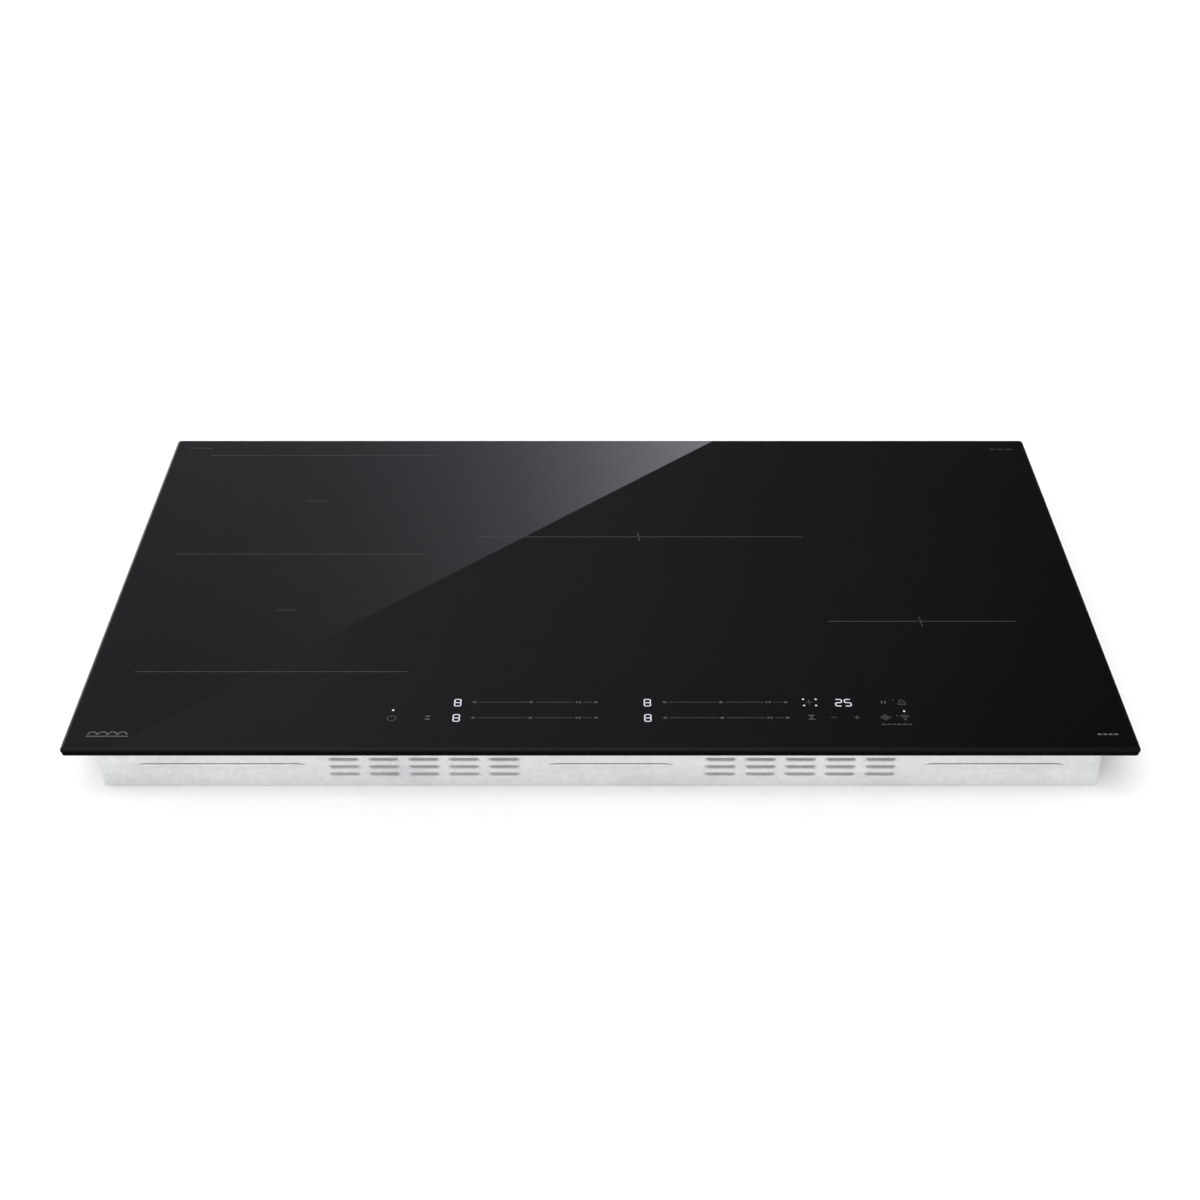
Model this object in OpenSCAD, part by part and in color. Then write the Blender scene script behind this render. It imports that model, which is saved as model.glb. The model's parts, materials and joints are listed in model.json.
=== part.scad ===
// Built-in electric induction cooktop with a flexible double zone, a large centre zone and a small zone.
// The frame: +X to the right, +Y to the back, +Z up, origin under the middle of the glass at the feet.

/* [Glass] */
// Width of the glass plate
glass_w = 900; // [890:1:910]
// Depth of the glass plate, front to back
glass_d = 520; // [516:1:526]
// Thickness of the glass plate
glass_t = 4; // [4:0.5:5]
// Corner radius of the glass plate in plan
glass_r = 5; // [3:1:10]
// Width of the ground edge round the top of the glass
arris = 0.8; // [0.4:0.1:1.2]
// Thickness of the sealing tape under the rim
seal_h = 3; // [2.5:0.5:3]
// Width of the sealing tape
seal_w = 13; // [10:1:14]

/* [Casing] */
// Width of the casing, outside
tray_w = 850; // [849:1:852]
// Depth of the casing, outside
tray_d = 480; // [479:1:482]
// Depth of the casing below the worktop surface
casing_depth = 51; // [51:1:54]
// Thickness of the casing's sheet steel
sheet = 1; // [0.8:0.1:1.2]
// Height of the feet under the casing
foot_h = 2; // [1.5:0.5:2]

/* [Cooking zones] */
// Middle of the flexible double zone, across
flex_x = -290; // [-294:1:-286]
// Middle of the flexible double zone, front to back
flex_y = 39; // [36:1:42]
// Width of the flexible zone
flex_w = 240; // [236:1:242]
// Depth of one half of the flexible zone
flex_d = 191; // [186:1:191]
// Middle of the large centre zone, across
centre_x = 38; // [34:1:42]
// Middle of the large centre zone, front to back
centre_y = 69; // [64:1:72]
// Middle of the small zone on the right, across
right_x = 293; // [288:1:300]
// Middle of the small zone on the right, front to back
right_y = -75; // [-78:1:-70]
// Radius of the small zone's winding
right_coil_r = 80; // [70:1:82]
// Outer radius of the centre zone's inner winding
inner_coil_r = 86; // [80:1:88]
// Outer radius of the centre zone's outer winding
outer_coil_r = 152; // [148:1:154]
// Distance from one turn of a winding to the next
turn_pitch = 4.2; // [4:0.1:4.6]
// Width of one turn of litz wire
turn_w = 2.8; // [2.2:0.1:3]

/* [Fans] */
// Outer radius of an impeller
impeller_r = 38; // [36:1:39]
// Number of impeller blades
blades = 24; // [16:1:28]

/* [Clamps] */
// Reach of a clamp arm from its screw
clamp_reach = 26; // [24:1:28]
// Distance of the clamp screws from the middle, front and back
clamp_y = 203; // [200:1:206]
// Radius of the clamp screws
screw_r = 2; // [2:0.5:2.5]
// Running clearance on the radius, in the clamps, the fans and the cover's hinge
running = 0.06; // [0.03:0.01:0.1]

/* [Hidden] */
$fn = 48;
eps = 0.01;

// Heights, from the feet up
floor_z = foot_h + sheet;
seat_z = casing_depth;
glass_z = seat_z + seal_h;
top_z = glass_z + glass_t;
bond_h = 0.8;
frame_z = glass_z - bond_h;
wall_top = seat_z - 2;
skirt_z = 40;
plate_z = 38;
plate_t = 1.2;
deck_z = plate_z + plate_t;
former_z = 43;
former_t = 2.5;
coil_z = former_z + former_t;
coil_h = 4;
mat_z = coil_z + coil_h;
board_z = 8;
board_t = 1.6;
part_z = board_z + board_t;

// Frame under the glass, which laps over the casing's walls
frame_gap = 0.2;
frame_t = 1;
frame_w = tray_w + 2 * (frame_gap + frame_t);
frame_d = tray_d + 2 * (frame_gap + frame_t);
flange_w = 8;
seal_inset = 0.4;

// Screws that join the frame to the casing, and the screws of the coil plate
front_screws = [-380, -120, 120, 380];
rear_screws = [-180, 100, 380];
side_screws_y = [-100, 100];
side_screw_z = 45;
tap_r = 1.5;
tap_hole_r = 1.6;
pan_r = 3;
pan_h = 1.6;
slot_w = 0.8;

// Feet
feet_x = [-380, 0, 380];
feet_y = [-150, 120];
foot_r = 8;

// Air outlets: slots in the front wall and in the floor behind it
vent_w = 26;
vent_pitch = 34;
vent_h = 3;
vent_rise = 8;
vent_z = 12;
floor_vent_w = 5;
floor_vent_pitch = 12;
floor_vent_y = [-220, -180];

// Pockets for the clamps in the casing's ends, and the recess for the mains connection
pocket_depth = 16;
pocket_near = clamp_y - 37;
pocket_far = clamp_y + 9;
clamp_x = tray_w / 2 - 8;
recess_x = [-410, -240];
recess_depth = 10;
recess_lip = 6;
recess_y = tray_d / 2 - recess_depth;

// Clamps: screw head, nut, arm, jaw and the boss in the frame
head_z = 3.5;
head_h = 3.5;
nut_z = 9;
nut_h = 3;
arm_t = 2;
jaw_z = 20;
jaw_t = 1.5;
jaw_l = 10;
arm_w = 12;
nut_r = 5.77;
boss_r = 4.5;
boss_h = 6;
ear_w = 18;

// Zones: the flexible zone's halves in front and behind
flex_front = [flex_x, flex_y - flex_d / 2];
flex_rear = [flex_x, flex_y + flex_d / 2];
flex_coil = [flex_w - 18, flex_d - 13];
centre_at = [centre_x, centre_y];
right_at = [right_x, right_y];
flex_turns = 15;
flex_coil_r = 80;
zone_centres = [flex_front, flex_rear, centre_at, right_at];

// Fans, heat sinks and boards
fan_at = [[-124, 182], [196, 182]];
fan_r = 46;
fan_h = 36 - floor_z;
fan_wall = 1.5;
shaft_r = 1.5;
rotor_z = 7;
back_z = 29;
cup_z = 15;
cup_r = 16;
motor_r = 12;
motor_z = 19;
duct_w = 40;
duct_end = 115;
inlet_r = 30;
grille_r = 42;
sink_x = [-150, 170];
sink_w = 50;
sink_y = [-130, 90];
board_y = [-150, 110];
board_x = [[-270, -30], [50, 290]];
filter_x = [-398, -290];
filter_y = [20, 165];

// Mains connection
box_x = [-396, -306];
box_z = [7, 35];
box_front = 190;
cover_y = recess_y + 1.8;
cover_t = 2;
hinge_y = recess_y + 4.6;
hinge_z = 36.6;
pin_r = 1.25;
terminals = 6;
terminal_pitch = 11.6;
terminal_x = -380;
knuckle_r = 2.4;
bush_at = [-284, 20];
bush_r = 6.5;
bush_body_r = 10;
bush_flange_r = 13;
plate_foot = 12;
stud_at = [-254, 20];

// Wires and the holes that they pass through
lead_r = 1.5;
lead_hole_r = 4;
lead_z = 36;

// Coil stack
centre_hole_r = 5;
lead_offset = 16;
ferrite_t = 3;
ferrite_w = 12;
cushion_r = 5;
sensor_r = 8;
sensor_cap_r = 5;

// Touch controls
ui_x = [-196, 280];
ui_y = [-234, -183];
ui_z = 44.5;
ui_board_z = 46;
slider_x = [-107, 56];
slider_y = [-197, -219];
digit_x = [-122, 41];
timer_x = 209;
digit_w = 12;
digit_d = 17;
pad_pitch = 12;
pads = 9;

// A rounded rectangle, centred
module rounded(w, d, r) {
    square([w - 2 * r, d], center = true);
    square([w, d - 2 * r], center = true);
    for (x = [-1, 1], y = [-1, 1])
        translate([x * (w / 2 - r), y * (d / 2 - r)]) circle(r);
}

// A box between two corners
module block(low, high) {
    translate(low) cube(high - low);
}

// A round bar along Y
module bar_y(x, y, z, r, length) {
    translate([x, y, z]) rotate([-90, 0, 0]) cylinder(r = r, h = length);
}

// A round bar along X
module bar_x(x, y, z, r, length) {
    translate([x, y, z]) rotate([0, 90, 0]) cylinder(r = r, h = length);
}

// The glass plate, its top edge ground off all round
module glass_top() {
    color([0.03, 0.03, 0.035]) intersection() {
        translate([0, 0, glass_z]) linear_extrude(glass_t) rounded(glass_w, glass_d, glass_r);
        rotate([90, 0, 0]) translate([0, 0, -glass_d]) linear_extrude(2 * glass_d) ground_profile(glass_w);
        rotate([90, 0, 90]) translate([0, 0, -glass_w]) linear_extrude(2 * glass_w) ground_profile(glass_d);
    }
}

// Section through the glass plate with both top corners ground off
module ground_profile(width) {
    polygon([[-width / 2, glass_z - 1], [width / 2, glass_z - 1], [width / 2, top_z - arris],
        [width / 2 - arris, top_z], [-width / 2 + arris, top_z], [-width / 2, top_z - arris]]);
}

// Foam sealing tape in four lengths under the rim
module worktop_seal() {
    x = glass_w / 2 - seal_inset;
    y = glass_d / 2 - seal_inset;
    color([0.06, 0.06, 0.06]) for (s = [-1, 1]) {
        translate([-x, s > 0 ? y - seal_w : -y, seat_z]) cube([2 * x, seal_w, seal_h]);
        translate([s > 0 ? x - seal_w : -x, -y + seal_w, seat_z]) cube([seal_w, 2 * (y - seal_w), seal_h]);
    }
}

// Silicone bead that bonds the glass to the frame
module silicone_bond() {
    color([0.1, 0.1, 0.1]) translate([0, 0, frame_z]) linear_extrude(bond_h) difference() {
        square([frame_w - 3, frame_d - 3], center = true);
        square([frame_w - 13, frame_d - 13], center = true);
    }
}

// Steel frame: a flange under the glass, a skirt over the casing and a nut boss for each clamp screw
module glass_frame() {
    color([0.12, 0.12, 0.13]) difference() {
        union() {
            translate([0, 0, skirt_z]) linear_extrude(frame_z - skirt_z) difference() {
                square([frame_w, frame_d], center = true);
                square([frame_w - 2 * frame_t, frame_d - 2 * frame_t], center = true);
            }
            translate([0, 0, frame_z - frame_t]) linear_extrude(frame_t) difference() {
                square([frame_w, frame_d], center = true);
                square([frame_w - 2 * flange_w, frame_d - 2 * flange_w], center = true);
            }
            for (sx = [-1, 1], sy = [-1, 1]) {
                translate([sx * clamp_x - ear_w / 2, sy * clamp_y - ear_w / 2, frame_z - frame_t])
                    cube([ear_w, ear_w, frame_t]);
                translate([sx * clamp_x, sy * clamp_y, frame_z - boss_h]) cylinder(r = boss_r, h = boss_h);
            }
        }
        for (sx = [-1, 1], sy = [-1, 1])
            translate([sx * clamp_x, sy * clamp_y, skirt_z]) cylinder(r = screw_r + running, h = 20);
        side_screws(tap_hole_r, 4);
    }
}

// A bar through each place where a screw joins the frame to the casing
module side_screws(r, length) {
    for (x = front_screws) bar_y(x, -frame_d / 2 - length / 2, side_screw_z, r, length);
    for (x = rear_screws) bar_y(x, frame_d / 2 - length / 2, side_screw_z, r, length);
    for (s = [-1, 1], y = side_screws_y) bar_x(s * frame_w / 2 - length / 2, y, side_screw_z, r, length);
}

// Pan-headed screws: frame to casing, and coil plate to its posts
module casing_screws() {
    color([0.75, 0.75, 0.78]) {
        difference() {
            side_screws(tap_r, 8);
            translate([0, 0, skirt_z]) linear_extrude(10) difference() {
                square([2 * glass_w, 2 * glass_d], center = true);
                square([frame_w, frame_d], center = true);
            }
        }
        for (x = front_screws) bar_y(x, -frame_d / 2 - pan_h, side_screw_z, pan_r, pan_h);
        for (x = rear_screws) bar_y(x, frame_d / 2, side_screw_z, pan_r, pan_h);
        for (s = [-1, 1], y = side_screws_y)
            bar_x(s > 0 ? frame_w / 2 : -frame_w / 2 - pan_h, y, side_screw_z, pan_r, pan_h);
        for (p = post_places) translate([p.x, p.y, deck_z]) difference() {
            cylinder(r = pan_r, h = pan_h);
            translate([0, 0, pan_h]) cube([2 * pan_r - 1, slot_w, pan_h], center = true);
        }
    }
}

// Outline of the casing in plan, drawn in by inset all round
module tray_outline(inset) {
    difference() {
        square([tray_w - 2 * inset, tray_d - 2 * inset], center = true);
        for (sx = [-1, 1], sy = [-1, 1]) scale([sx, sy])
            translate([tray_w / 2 - pocket_depth - inset, pocket_near - inset])
                square([2 * pocket_depth, pocket_far - pocket_near + 2 * inset]);
        translate([recess_x[0] - inset, recess_y - inset])
            square([recess_x[1] - recess_x[0] + 2 * inset, 2 * recess_depth]);
    }
}

// Folded steel casing, open at the top
module base_tray() {
    color([0.72, 0.73, 0.74]) difference() {
        translate([0, 0, foot_h]) linear_extrude(wall_top - foot_h) tray_outline(0);
        translate([0, 0, floor_z]) linear_extrude(wall_top) tray_outline(sheet);
        for (p = fan_at) translate([p.x, p.y, 0]) cylinder(r = grille_r, h = 10);
        for (x = sink_x) {
            outlet_slots(x);
            floor_slots(x);
        }
        block([recess_x[0] + recess_lip, recess_y - 2, floor_z],
            [recess_x[1] - recess_lip, recess_y + 1, wall_top + 1]);
        side_screws(tap_hole_r, 8);
    }
}

// Plate that closes the recess and carries the mains connection, its foot welded to the floor
module connection_plate() {
    x = [recess_x[0] + recess_lip + 0.2, recess_x[1] - recess_lip - 0.2];
    color([0.72, 0.73, 0.74]) difference() {
        union() {
            block([x[0], recess_y - sheet, floor_z], [x[1], recess_y, wall_top]);
            block([x[0], recess_y - plate_foot, floor_z], [x[1], recess_y, floor_z + sheet]);
        }
        block([box_x[0] - 0.2, recess_y - 2, box_z[0] - 0.2], [box_x[1] + 0.2, recess_y + 1, box_z[1] + 0.2]);
        bar_y(bush_at.x, recess_y - 2, bush_at.y, bush_body_r + 0.2, 4);
        bar_y(stud_at.x, recess_y - 2, stud_at.y, 2.2, 4);
    }
}

// Air outlets in the front wall
module outlet_slots(x) {
    for (i = [-2:2], j = [0:2])
        translate([x + i * vent_pitch - vent_w / 2, -tray_d / 2 - 1, vent_z + j * vent_rise])
            cube([vent_w, 2 + sheet, vent_h]);
}

// Air outlets in the floor behind the front wall
module floor_slots(x) {
    for (i = [-6:6])
        translate([x + i * floor_vent_pitch - floor_vent_w / 2, floor_vent_y[0], 0])
            cube([floor_vent_w, floor_vent_y[1] - floor_vent_y[0], 2 * floor_z]);
}

// Rubber feet
module tray_feet() {
    color([0.1, 0.1, 0.1]) for (x = feet_x, y = feet_y)
        translate([x, y, 0]) cylinder(r = foot_r, h = foot_h);
}

// Round inlet grilles: rings on a cross of spokes
module fan_grilles() {
    color([0.15, 0.15, 0.16]) for (p = fan_at) translate([p.x, p.y, foot_h]) linear_extrude(sheet) {
        for (r = [41.8, 34, 26, 18, 10]) difference() {
            circle(r);
            circle(r - 3);
        }
        difference() {
            for (a = [0, 60, 120]) rotate(a) square([2 * grille_r - 3, 3], center = true);
            circle(8.5);
        }
    }
}

// Aluminium plate that carries the coils
module coil_plate() {
    color([0.82, 0.83, 0.85]) difference() {
        block([-404, -176, plate_z], [404, 228, deck_z]);
        for (p = lead_places) translate([p.x, p.y, plate_z - 1]) cylinder(r = lead_hole_r, h = 4);
        for (c = zone_centres) translate([c.x, c.y, plate_z - 1]) cylinder(r = centre_hole_r, h = 4);
    }
}

post_places = [[-398, -168], [-398, 8], [-290, 178], [0, -168], [22, 127], [20, 218], [312, -168],
    [312, 125], [392, 218], [392, 0]];

// Hexagonal posts between the casing's floor and the coil plate
module plate_posts() {
    color([0.8, 0.75, 0.5]) for (p = post_places)
        translate([p.x, p.y, floor_z]) cylinder(r = 4, h = plate_z - floor_z, $fn = 6);
}

// One oval winding of the flexible zone, as closed turns
module oval_coil(at) {
    color([0.72, 0.42, 0.22]) translate([at.x, at.y, coil_z]) for (i = [0:flex_turns - 1])
        linear_extrude(coil_h) difference() {
            oval_turn(i * turn_pitch);
            oval_turn(i * turn_pitch + turn_w);
        }
}

module oval_turn(inset) {
    rounded(flex_coil.x - 2 * inset, flex_coil.y - 2 * inset, flex_coil_r - inset);
}

// Round turns from an outer radius inwards
module round_turns(outer, inner) {
    for (r = [outer:-turn_pitch:inner]) linear_extrude(coil_h) difference() {
        circle(r);
        circle(r - turn_w);
    }
}

module centre_coil() {
    color([0.72, 0.42, 0.22]) translate([centre_at.x, centre_at.y, coil_z]) {
        round_turns(outer_coil_r, inner_coil_r + 14);
        round_turns(inner_coil_r, 24);
    }
}

module right_coil() {
    color([0.72, 0.42, 0.22]) translate([right_at.x, right_at.y, coil_z]) round_turns(right_coil_r, 24);
}

// Plastic plate that holds an oval winding
module oval_former(at) {
    color([0.85, 0.83, 0.78]) translate([at.x, at.y, former_z]) difference() {
        linear_extrude(former_t) rounded(flex_coil.x, flex_coil.y, flex_coil_r);
        translate([0, 0, -1]) cylinder(r = centre_hole_r, h = 5);
        for (x = [-lead_offset, lead_offset]) translate([x, 0, -1]) cylinder(r = 2.5, h = 5);
        for (x = [-70, 70], y = [-45, 45]) translate([x, y, -1]) cylinder(r = 4, h = 5);
    }
}

// Plastic plate that holds a round winding
module round_former(at, r) {
    color([0.85, 0.83, 0.78]) translate([at.x, at.y, former_z]) difference() {
        cylinder(r = r, h = former_t);
        translate([0, 0, -1]) cylinder(r = centre_hole_r, h = 5);
        for (x = [-lead_offset, lead_offset]) translate([x, 0, -1]) cylinder(r = 2.5, h = 5);
        for (a = [45:90:315]) rotate(a) translate([0.72 * r, 0, -1]) cylinder(r = 4, h = 5);
    }
}

// Ferrite bars under the formers, like the spokes of a wheel
module ferrite_bars() {
    color([0.2, 0.2, 0.21]) {
        for (c = [flex_front, flex_rear], s = [-1, 1], b = [[30, 62], [60, 62], [90, 50]])
            translate([c.x + s * b[0], c.y, former_z - ferrite_t / 2])
                cube([ferrite_w, 2 * b[1], ferrite_t], center = true);
        bar_star(centre_at, 12, 30, 145);
        bar_star(right_at, 8, 24, 76);
    }
}

module bar_star(at, count, inner, outer) {
    for (i = [0:count - 1]) translate([at.x, at.y, former_z - ferrite_t]) rotate(i * 360 / count)
        translate([inner, -ferrite_w / 2, 0]) cube([outer - inner, ferrite_w, ferrite_t]);
}

// Silicone cushions between the coil plate and the formers
module coil_buffers() {
    color([0.75, 0.3, 0.2]) {
        for (c = [flex_front, flex_rear], x = [-105, -15, 15, 105])
            translate([c.x + x, c.y + 40 * (abs(x) > 50 ? 0 : sign(x)), deck_z]) cushion();
        for (a = [15:60:345]) translate(centre_at) rotate(a) translate([125, 0, deck_z]) cushion();
        for (a = [22.5:90:337.5]) translate(right_at) rotate(a) translate([66, 0, deck_z]) cushion();
    }
}

module cushion() {
    cylinder(r = cushion_r, h = former_z - deck_z);
}

// Ceramic-fibre mats with a mica face, between the windings and the glass
module insulation_mats() {
    color([0.93, 0.92, 0.88]) {
        for (c = [flex_front, flex_rear]) mat_at(c) rounded(flex_coil.x, flex_coil.y, flex_coil_r);
        mat_at(centre_at) circle(outer_coil_r);
        mat_at(right_at) circle(right_coil_r);
    }
}

module mat_at(at) {
    translate([at.x, at.y, mat_z]) linear_extrude(glass_z - mat_z - 0.4) difference() {
        children();
        circle(sensor_r + 1);
    }
}

// A sprung temperature sensor in the middle of each zone
module temperature_sensors() {
    color([0.9, 0.9, 0.92]) for (c = zone_centres) translate([c.x, c.y, coil_z]) {
        cylinder(r = sensor_r, h = 5);
        translate([0, 0, 5]) cylinder(r = sensor_cap_r, h = glass_z - coil_z - 5.1);
        translate([0, 0, -former_t - 2]) cylinder(r = 3, h = former_t + 2);
    }
}

// Where the coils' leads pass through the plate: the inner and the outer end of each winding
lead_places = concat(
    [for (c = [flex_front, flex_rear]) [c.x + lead_offset, c.y]],
    [for (c = [flex_front, flex_rear]) [c.x + flex_coil.x / 2 + 3, c.y]],
    [[centre_at.x + lead_offset, centre_at.y], [right_at.x - lead_offset, right_at.y],
    [centre_at.x + outer_coil_r + 3, centre_at.y], [right_at.x - right_coil_r - 3, right_at.y]]);

// Where each lead lands on a power board
lead_ends = [[-255, -57], [-255, 100], [-182, -57], [-182, 100], [60, 69], [277, -75], [200, 69], [200, -75]];

// A wire of round section along a list of points
module wire(points, r) {
    for (i = [0:len(points) - 2]) hull() {
        translate(points[i]) sphere(r = r, $fn = 8);
        translate(points[i + 1]) sphere(r = r, $fn = 8);
    }
}

// Leads of the coils, the mains leads, and the flat cable from the controls
module internal_wiring() {
    low = part_z + lead_r + 0.1;
    color([0.8, 0.15, 0.1]) for (i = [0:len(lead_places) - 1])
        wire([[lead_places[i].x, lead_places[i].y, coil_z + 1], [lead_places[i].x, lead_places[i].y, lead_z],
            [lead_ends[i].x, lead_ends[i].y, lead_z], [lead_ends[i].x, lead_ends[i].y, low]], lead_r);
    color([0.1, 0.3, 0.7]) for (i = [-1:1])
        wire([[-345 + 5 * i, box_front + lead_r, 20], [-345 + 5 * i, 176, 20],
            [-350 + 20 * i, 158, low]], lead_r);
    color([0.85, 0.85, 0.86]) translate([-60, 0, 0]) rotate([90, 0, 90]) linear_extrude(24)
        polygon([[-190, ui_board_z + board_t], [-190, 48.4], [-180, 48.4], [-180, 14.8], [-152, 14.8],
            [-152, part_z + 0.2], [-144, part_z + 0.2], [-144, part_z], [-152.8, part_z], [-152.8, 14],
            [-180.8, 14], [-180.8, ui_board_z + board_t]]);
}

// Plastic carrier for the touch controls, on legs from the casing's floor
module ui_carrier() {
    color([0.2, 0.2, 0.21]) {
        block([ui_x[0], ui_y[0], ui_z], [ui_x[1], ui_y[1], ui_board_z]);
        for (y = [ui_y[0], ui_y[1] - 1.5])
            block([ui_x[0], y, ui_board_z - eps], [ui_x[1], y + 1.5, ui_board_z + board_t]);
        for (x = [-180, -100, 0, 100, 190, 265])
            translate([x, -225, floor_z]) cylinder(r = 4, h = ui_z - floor_z + eps);
    }
}

// Touch-control circuit board
module ui_board() {
    color([0.05, 0.25, 0.12]) difference() {
        block([ui_x[0] + 2, ui_y[0] + 2, ui_board_z], [ui_x[1] - 2, ui_y[1] - 2, ui_board_z + board_t]);
        for (x = [ui_x[0] + 8, ui_x[1] - 8], y = [ui_y[0] + 8, ui_y[1] - 8])
            translate([x, y, ui_board_z - 1]) cylinder(r = 1.6, h = 4);
    }
}

// Seven-segment displays and their light wells
module led_displays() {
    z = ui_board_z + board_t;
    color([0.9, 0.9, 0.92]) {
        for (x = digit_x, y = slider_y) light_well(x, y, digit_w);
        light_well(timer_x, slider_y[0], 20);
        light_well(180, slider_y[0], 16);
        for (p = [[-176.5, -208.5], [260, -209.5]])
            translate([p.x, p.y, z]) cylinder(r = 2, h = glass_z - 1 - z);
    }
}

// A box that leads the light of one display up to the glass
module light_well(x, y, width) {
    z = ui_board_z + board_t;
    translate([x - width / 2, y - digit_d / 2, z]) cube([width, digit_d, glass_z - 1 - z]);
}

// Conductive foam pads that press on the underside of the glass
module touch_pads() {
    z = ui_board_z + board_t;
    h = glass_z - z - 0.1;
    color([0.3, 0.3, 0.32]) {
        for (x = slider_x, y = slider_y, i = [0:pads - 1])
            translate([x + 2 + i * pad_pitch, y, z + h / 2]) cube([0.75 * pad_pitch, 6, h], center = true);
        for (p = [[-177, -219.5], [-146.5, -219.5], [180, -218], [199.5, -218], [219, -218], [243, -197],
            [259.5, -197], [243, -218], [260, -218]])
            translate([p.x, p.y, z]) cylinder(r = 4, h = h);
    }
}

// Plastic trays that hold the circuit boards off the casing's floor
module board_carriers() {
    color([0.88, 0.87, 0.84]) for (b = [[filter_x, filter_y], [board_x[0], board_y], [board_x[1], board_y]]) {
        block([b[0][0], b[1][0], floor_z], [b[0][1], b[1][1], floor_z + 1.5]);
        for (x = [b[0][0] + 8, b[0][1] - 8], y = [b[1][0] + 8, (b[1][0] + b[1][1]) / 2, b[1][1] - 8])
            translate([x, y, floor_z]) cylinder(r = 3.5, h = board_z - floor_z);
    }
}

// A circuit board with a screw hole near each corner
module board(x, y) {
    color([0.05, 0.3, 0.15]) difference() {
        block([x[0], y[0], board_z], [x[1], y[1], part_z]);
        for (i = [x[0] + 8, x[1] - 8], j = [y[0] + 8, y[1] - 8])
            translate([i, j, board_z - 1]) cylinder(r = 1.8, h = 4);
    }
}

// Common-mode choke of the mains filter: a toroid on its base
module filter_choke() {
    color([0.65, 0.4, 0.15]) translate([-325, 122, part_z + 9]) rotate_extrude() translate([13, 0]) circle(8);
    color([0.1, 0.1, 0.1]) translate([-325, 122, part_z]) cylinder(r = 12, h = 3.5);
}

// Film capacitors: two on the filter board, four and a large one on each power board
module capacitors() {
    color([0.75, 0.74, 0.7]) {
        for (y = [40, 70]) block([-375, y, part_z], [-343, y + 14, part_z + 24]);
        for (b = board_x, i = [0:3])
            translate([b[1] - 60, -110 + i * 34, part_z]) cube([26, 14, 22]);
        for (b = board_x) block([b[1] - 70, 38, part_z], [b[1] - 28, 60, part_z + 24]);
    }
}

// Extruded heat sink on two feet, with the transistors under it
module heatsink(x) {
    color([0.8, 0.81, 0.83]) {
        block([x - sink_w / 2, sink_y[0], 16], [x + sink_w / 2, sink_y[1], 20]);
        for (i = [0:8]) translate([x - sink_w / 2 + i * (sink_w - 1.4) / 8, sink_y[0], 20 - eps])
            cube([1.4, sink_y[1] - sink_y[0], 13]);
        for (y = [sink_y[0], sink_y[1] - 4])
            block([x - sink_w / 2, y, part_z], [x + sink_w / 2, y + 4, 16 + eps]);
    }
}

// Power transistors and rectifiers between board and heat sink
module power_transistors() {
    color([0.1, 0.1, 0.11]) for (x = sink_x, y = [-110, -70, -30, 10, 50]) difference() {
        block([x - 8, y, part_z + 1.2], [x + 8, y + 21, 16]);
        translate([x, y + 17, part_z]) cylinder(r = 1.8, h = 10);
    }
}

// Radio module under a shield can
module radio_module() {
    color([0.7, 0.71, 0.72]) {
        block([330, -215, 6], [370, -190, 7.2]);
        block([338, -210, 7.2 - eps], [362, -194, 9.8]);
        for (x = [334, 366], y = [-211, -194])
            translate([x, y, floor_z]) cylinder(r = 2, h = 6 - floor_z + eps);
    }
}

// Snail outline of a blower: a circle and its outlet duct towards the front
module snail(inset) {
    circle(fan_r - inset);
    translate([-fan_r + inset, -182 + duct_end - (inset > 0 ? 1 : 0)])
        square([duct_w - 2 * inset, 182 - duct_end + (inset > 0 ? 1 : 0)]);
}

module fan_housing(at) {
    color([0.13, 0.13, 0.14]) translate([at.x, at.y, floor_z]) difference() {
        linear_extrude(fan_h) snail(0);
        translate([0, 0, fan_wall]) linear_extrude(fan_h - 2 * fan_wall) snail(fan_wall);
        translate([0, 0, -1]) cylinder(r = inlet_r, h = fan_wall + 2);
    }
}

// Stator on the housing's roof, with the bearing for the shaft
module fan_motor(at) {
    color([0.55, 0.4, 0.25]) translate([at.x, at.y, 0]) difference() {
        translate([0, 0, motor_z]) cylinder(r = motor_r, h = floor_z + fan_h - fan_wall - motor_z);
        translate([0, 0, motor_z - 9]) cylinder(r = shaft_r + running, h = 23.5);
    }
}

// Impeller: a back plate with a cup over the motor, blades, a front ring and the shaft
module fan_impeller(at) {
    color([0.2, 0.2, 0.22]) translate([at.x, at.y, 0]) {
        difference() {
            union() {
                translate([0, 0, back_z]) cylinder(r = impeller_r, h = 1.5);
                translate([0, 0, cup_z]) cylinder(r = cup_r, h = back_z + 1 - cup_z);
            }
            translate([0, 0, cup_z + 2]) cylinder(r = cup_r - 2, h = back_z);
        }
        translate([0, 0, rotor_z]) difference() {
            cylinder(r = impeller_r, h = 1.5);
            translate([0, 0, -1]) cylinder(r = impeller_r - 7, h = 4);
        }
        for (i = [0:blades - 1]) rotate(i * 360 / blades)
            translate([impeller_r - 5, 0, rotor_z + 1]) rotate(35) translate([-4, -0.6, 0])
                cube([7.4, 1.2, back_z - rotor_z - 0.5]);
        translate([0, 0, cup_z + 1]) cylinder(r = shaft_r, h = 17);
    }
}

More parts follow.
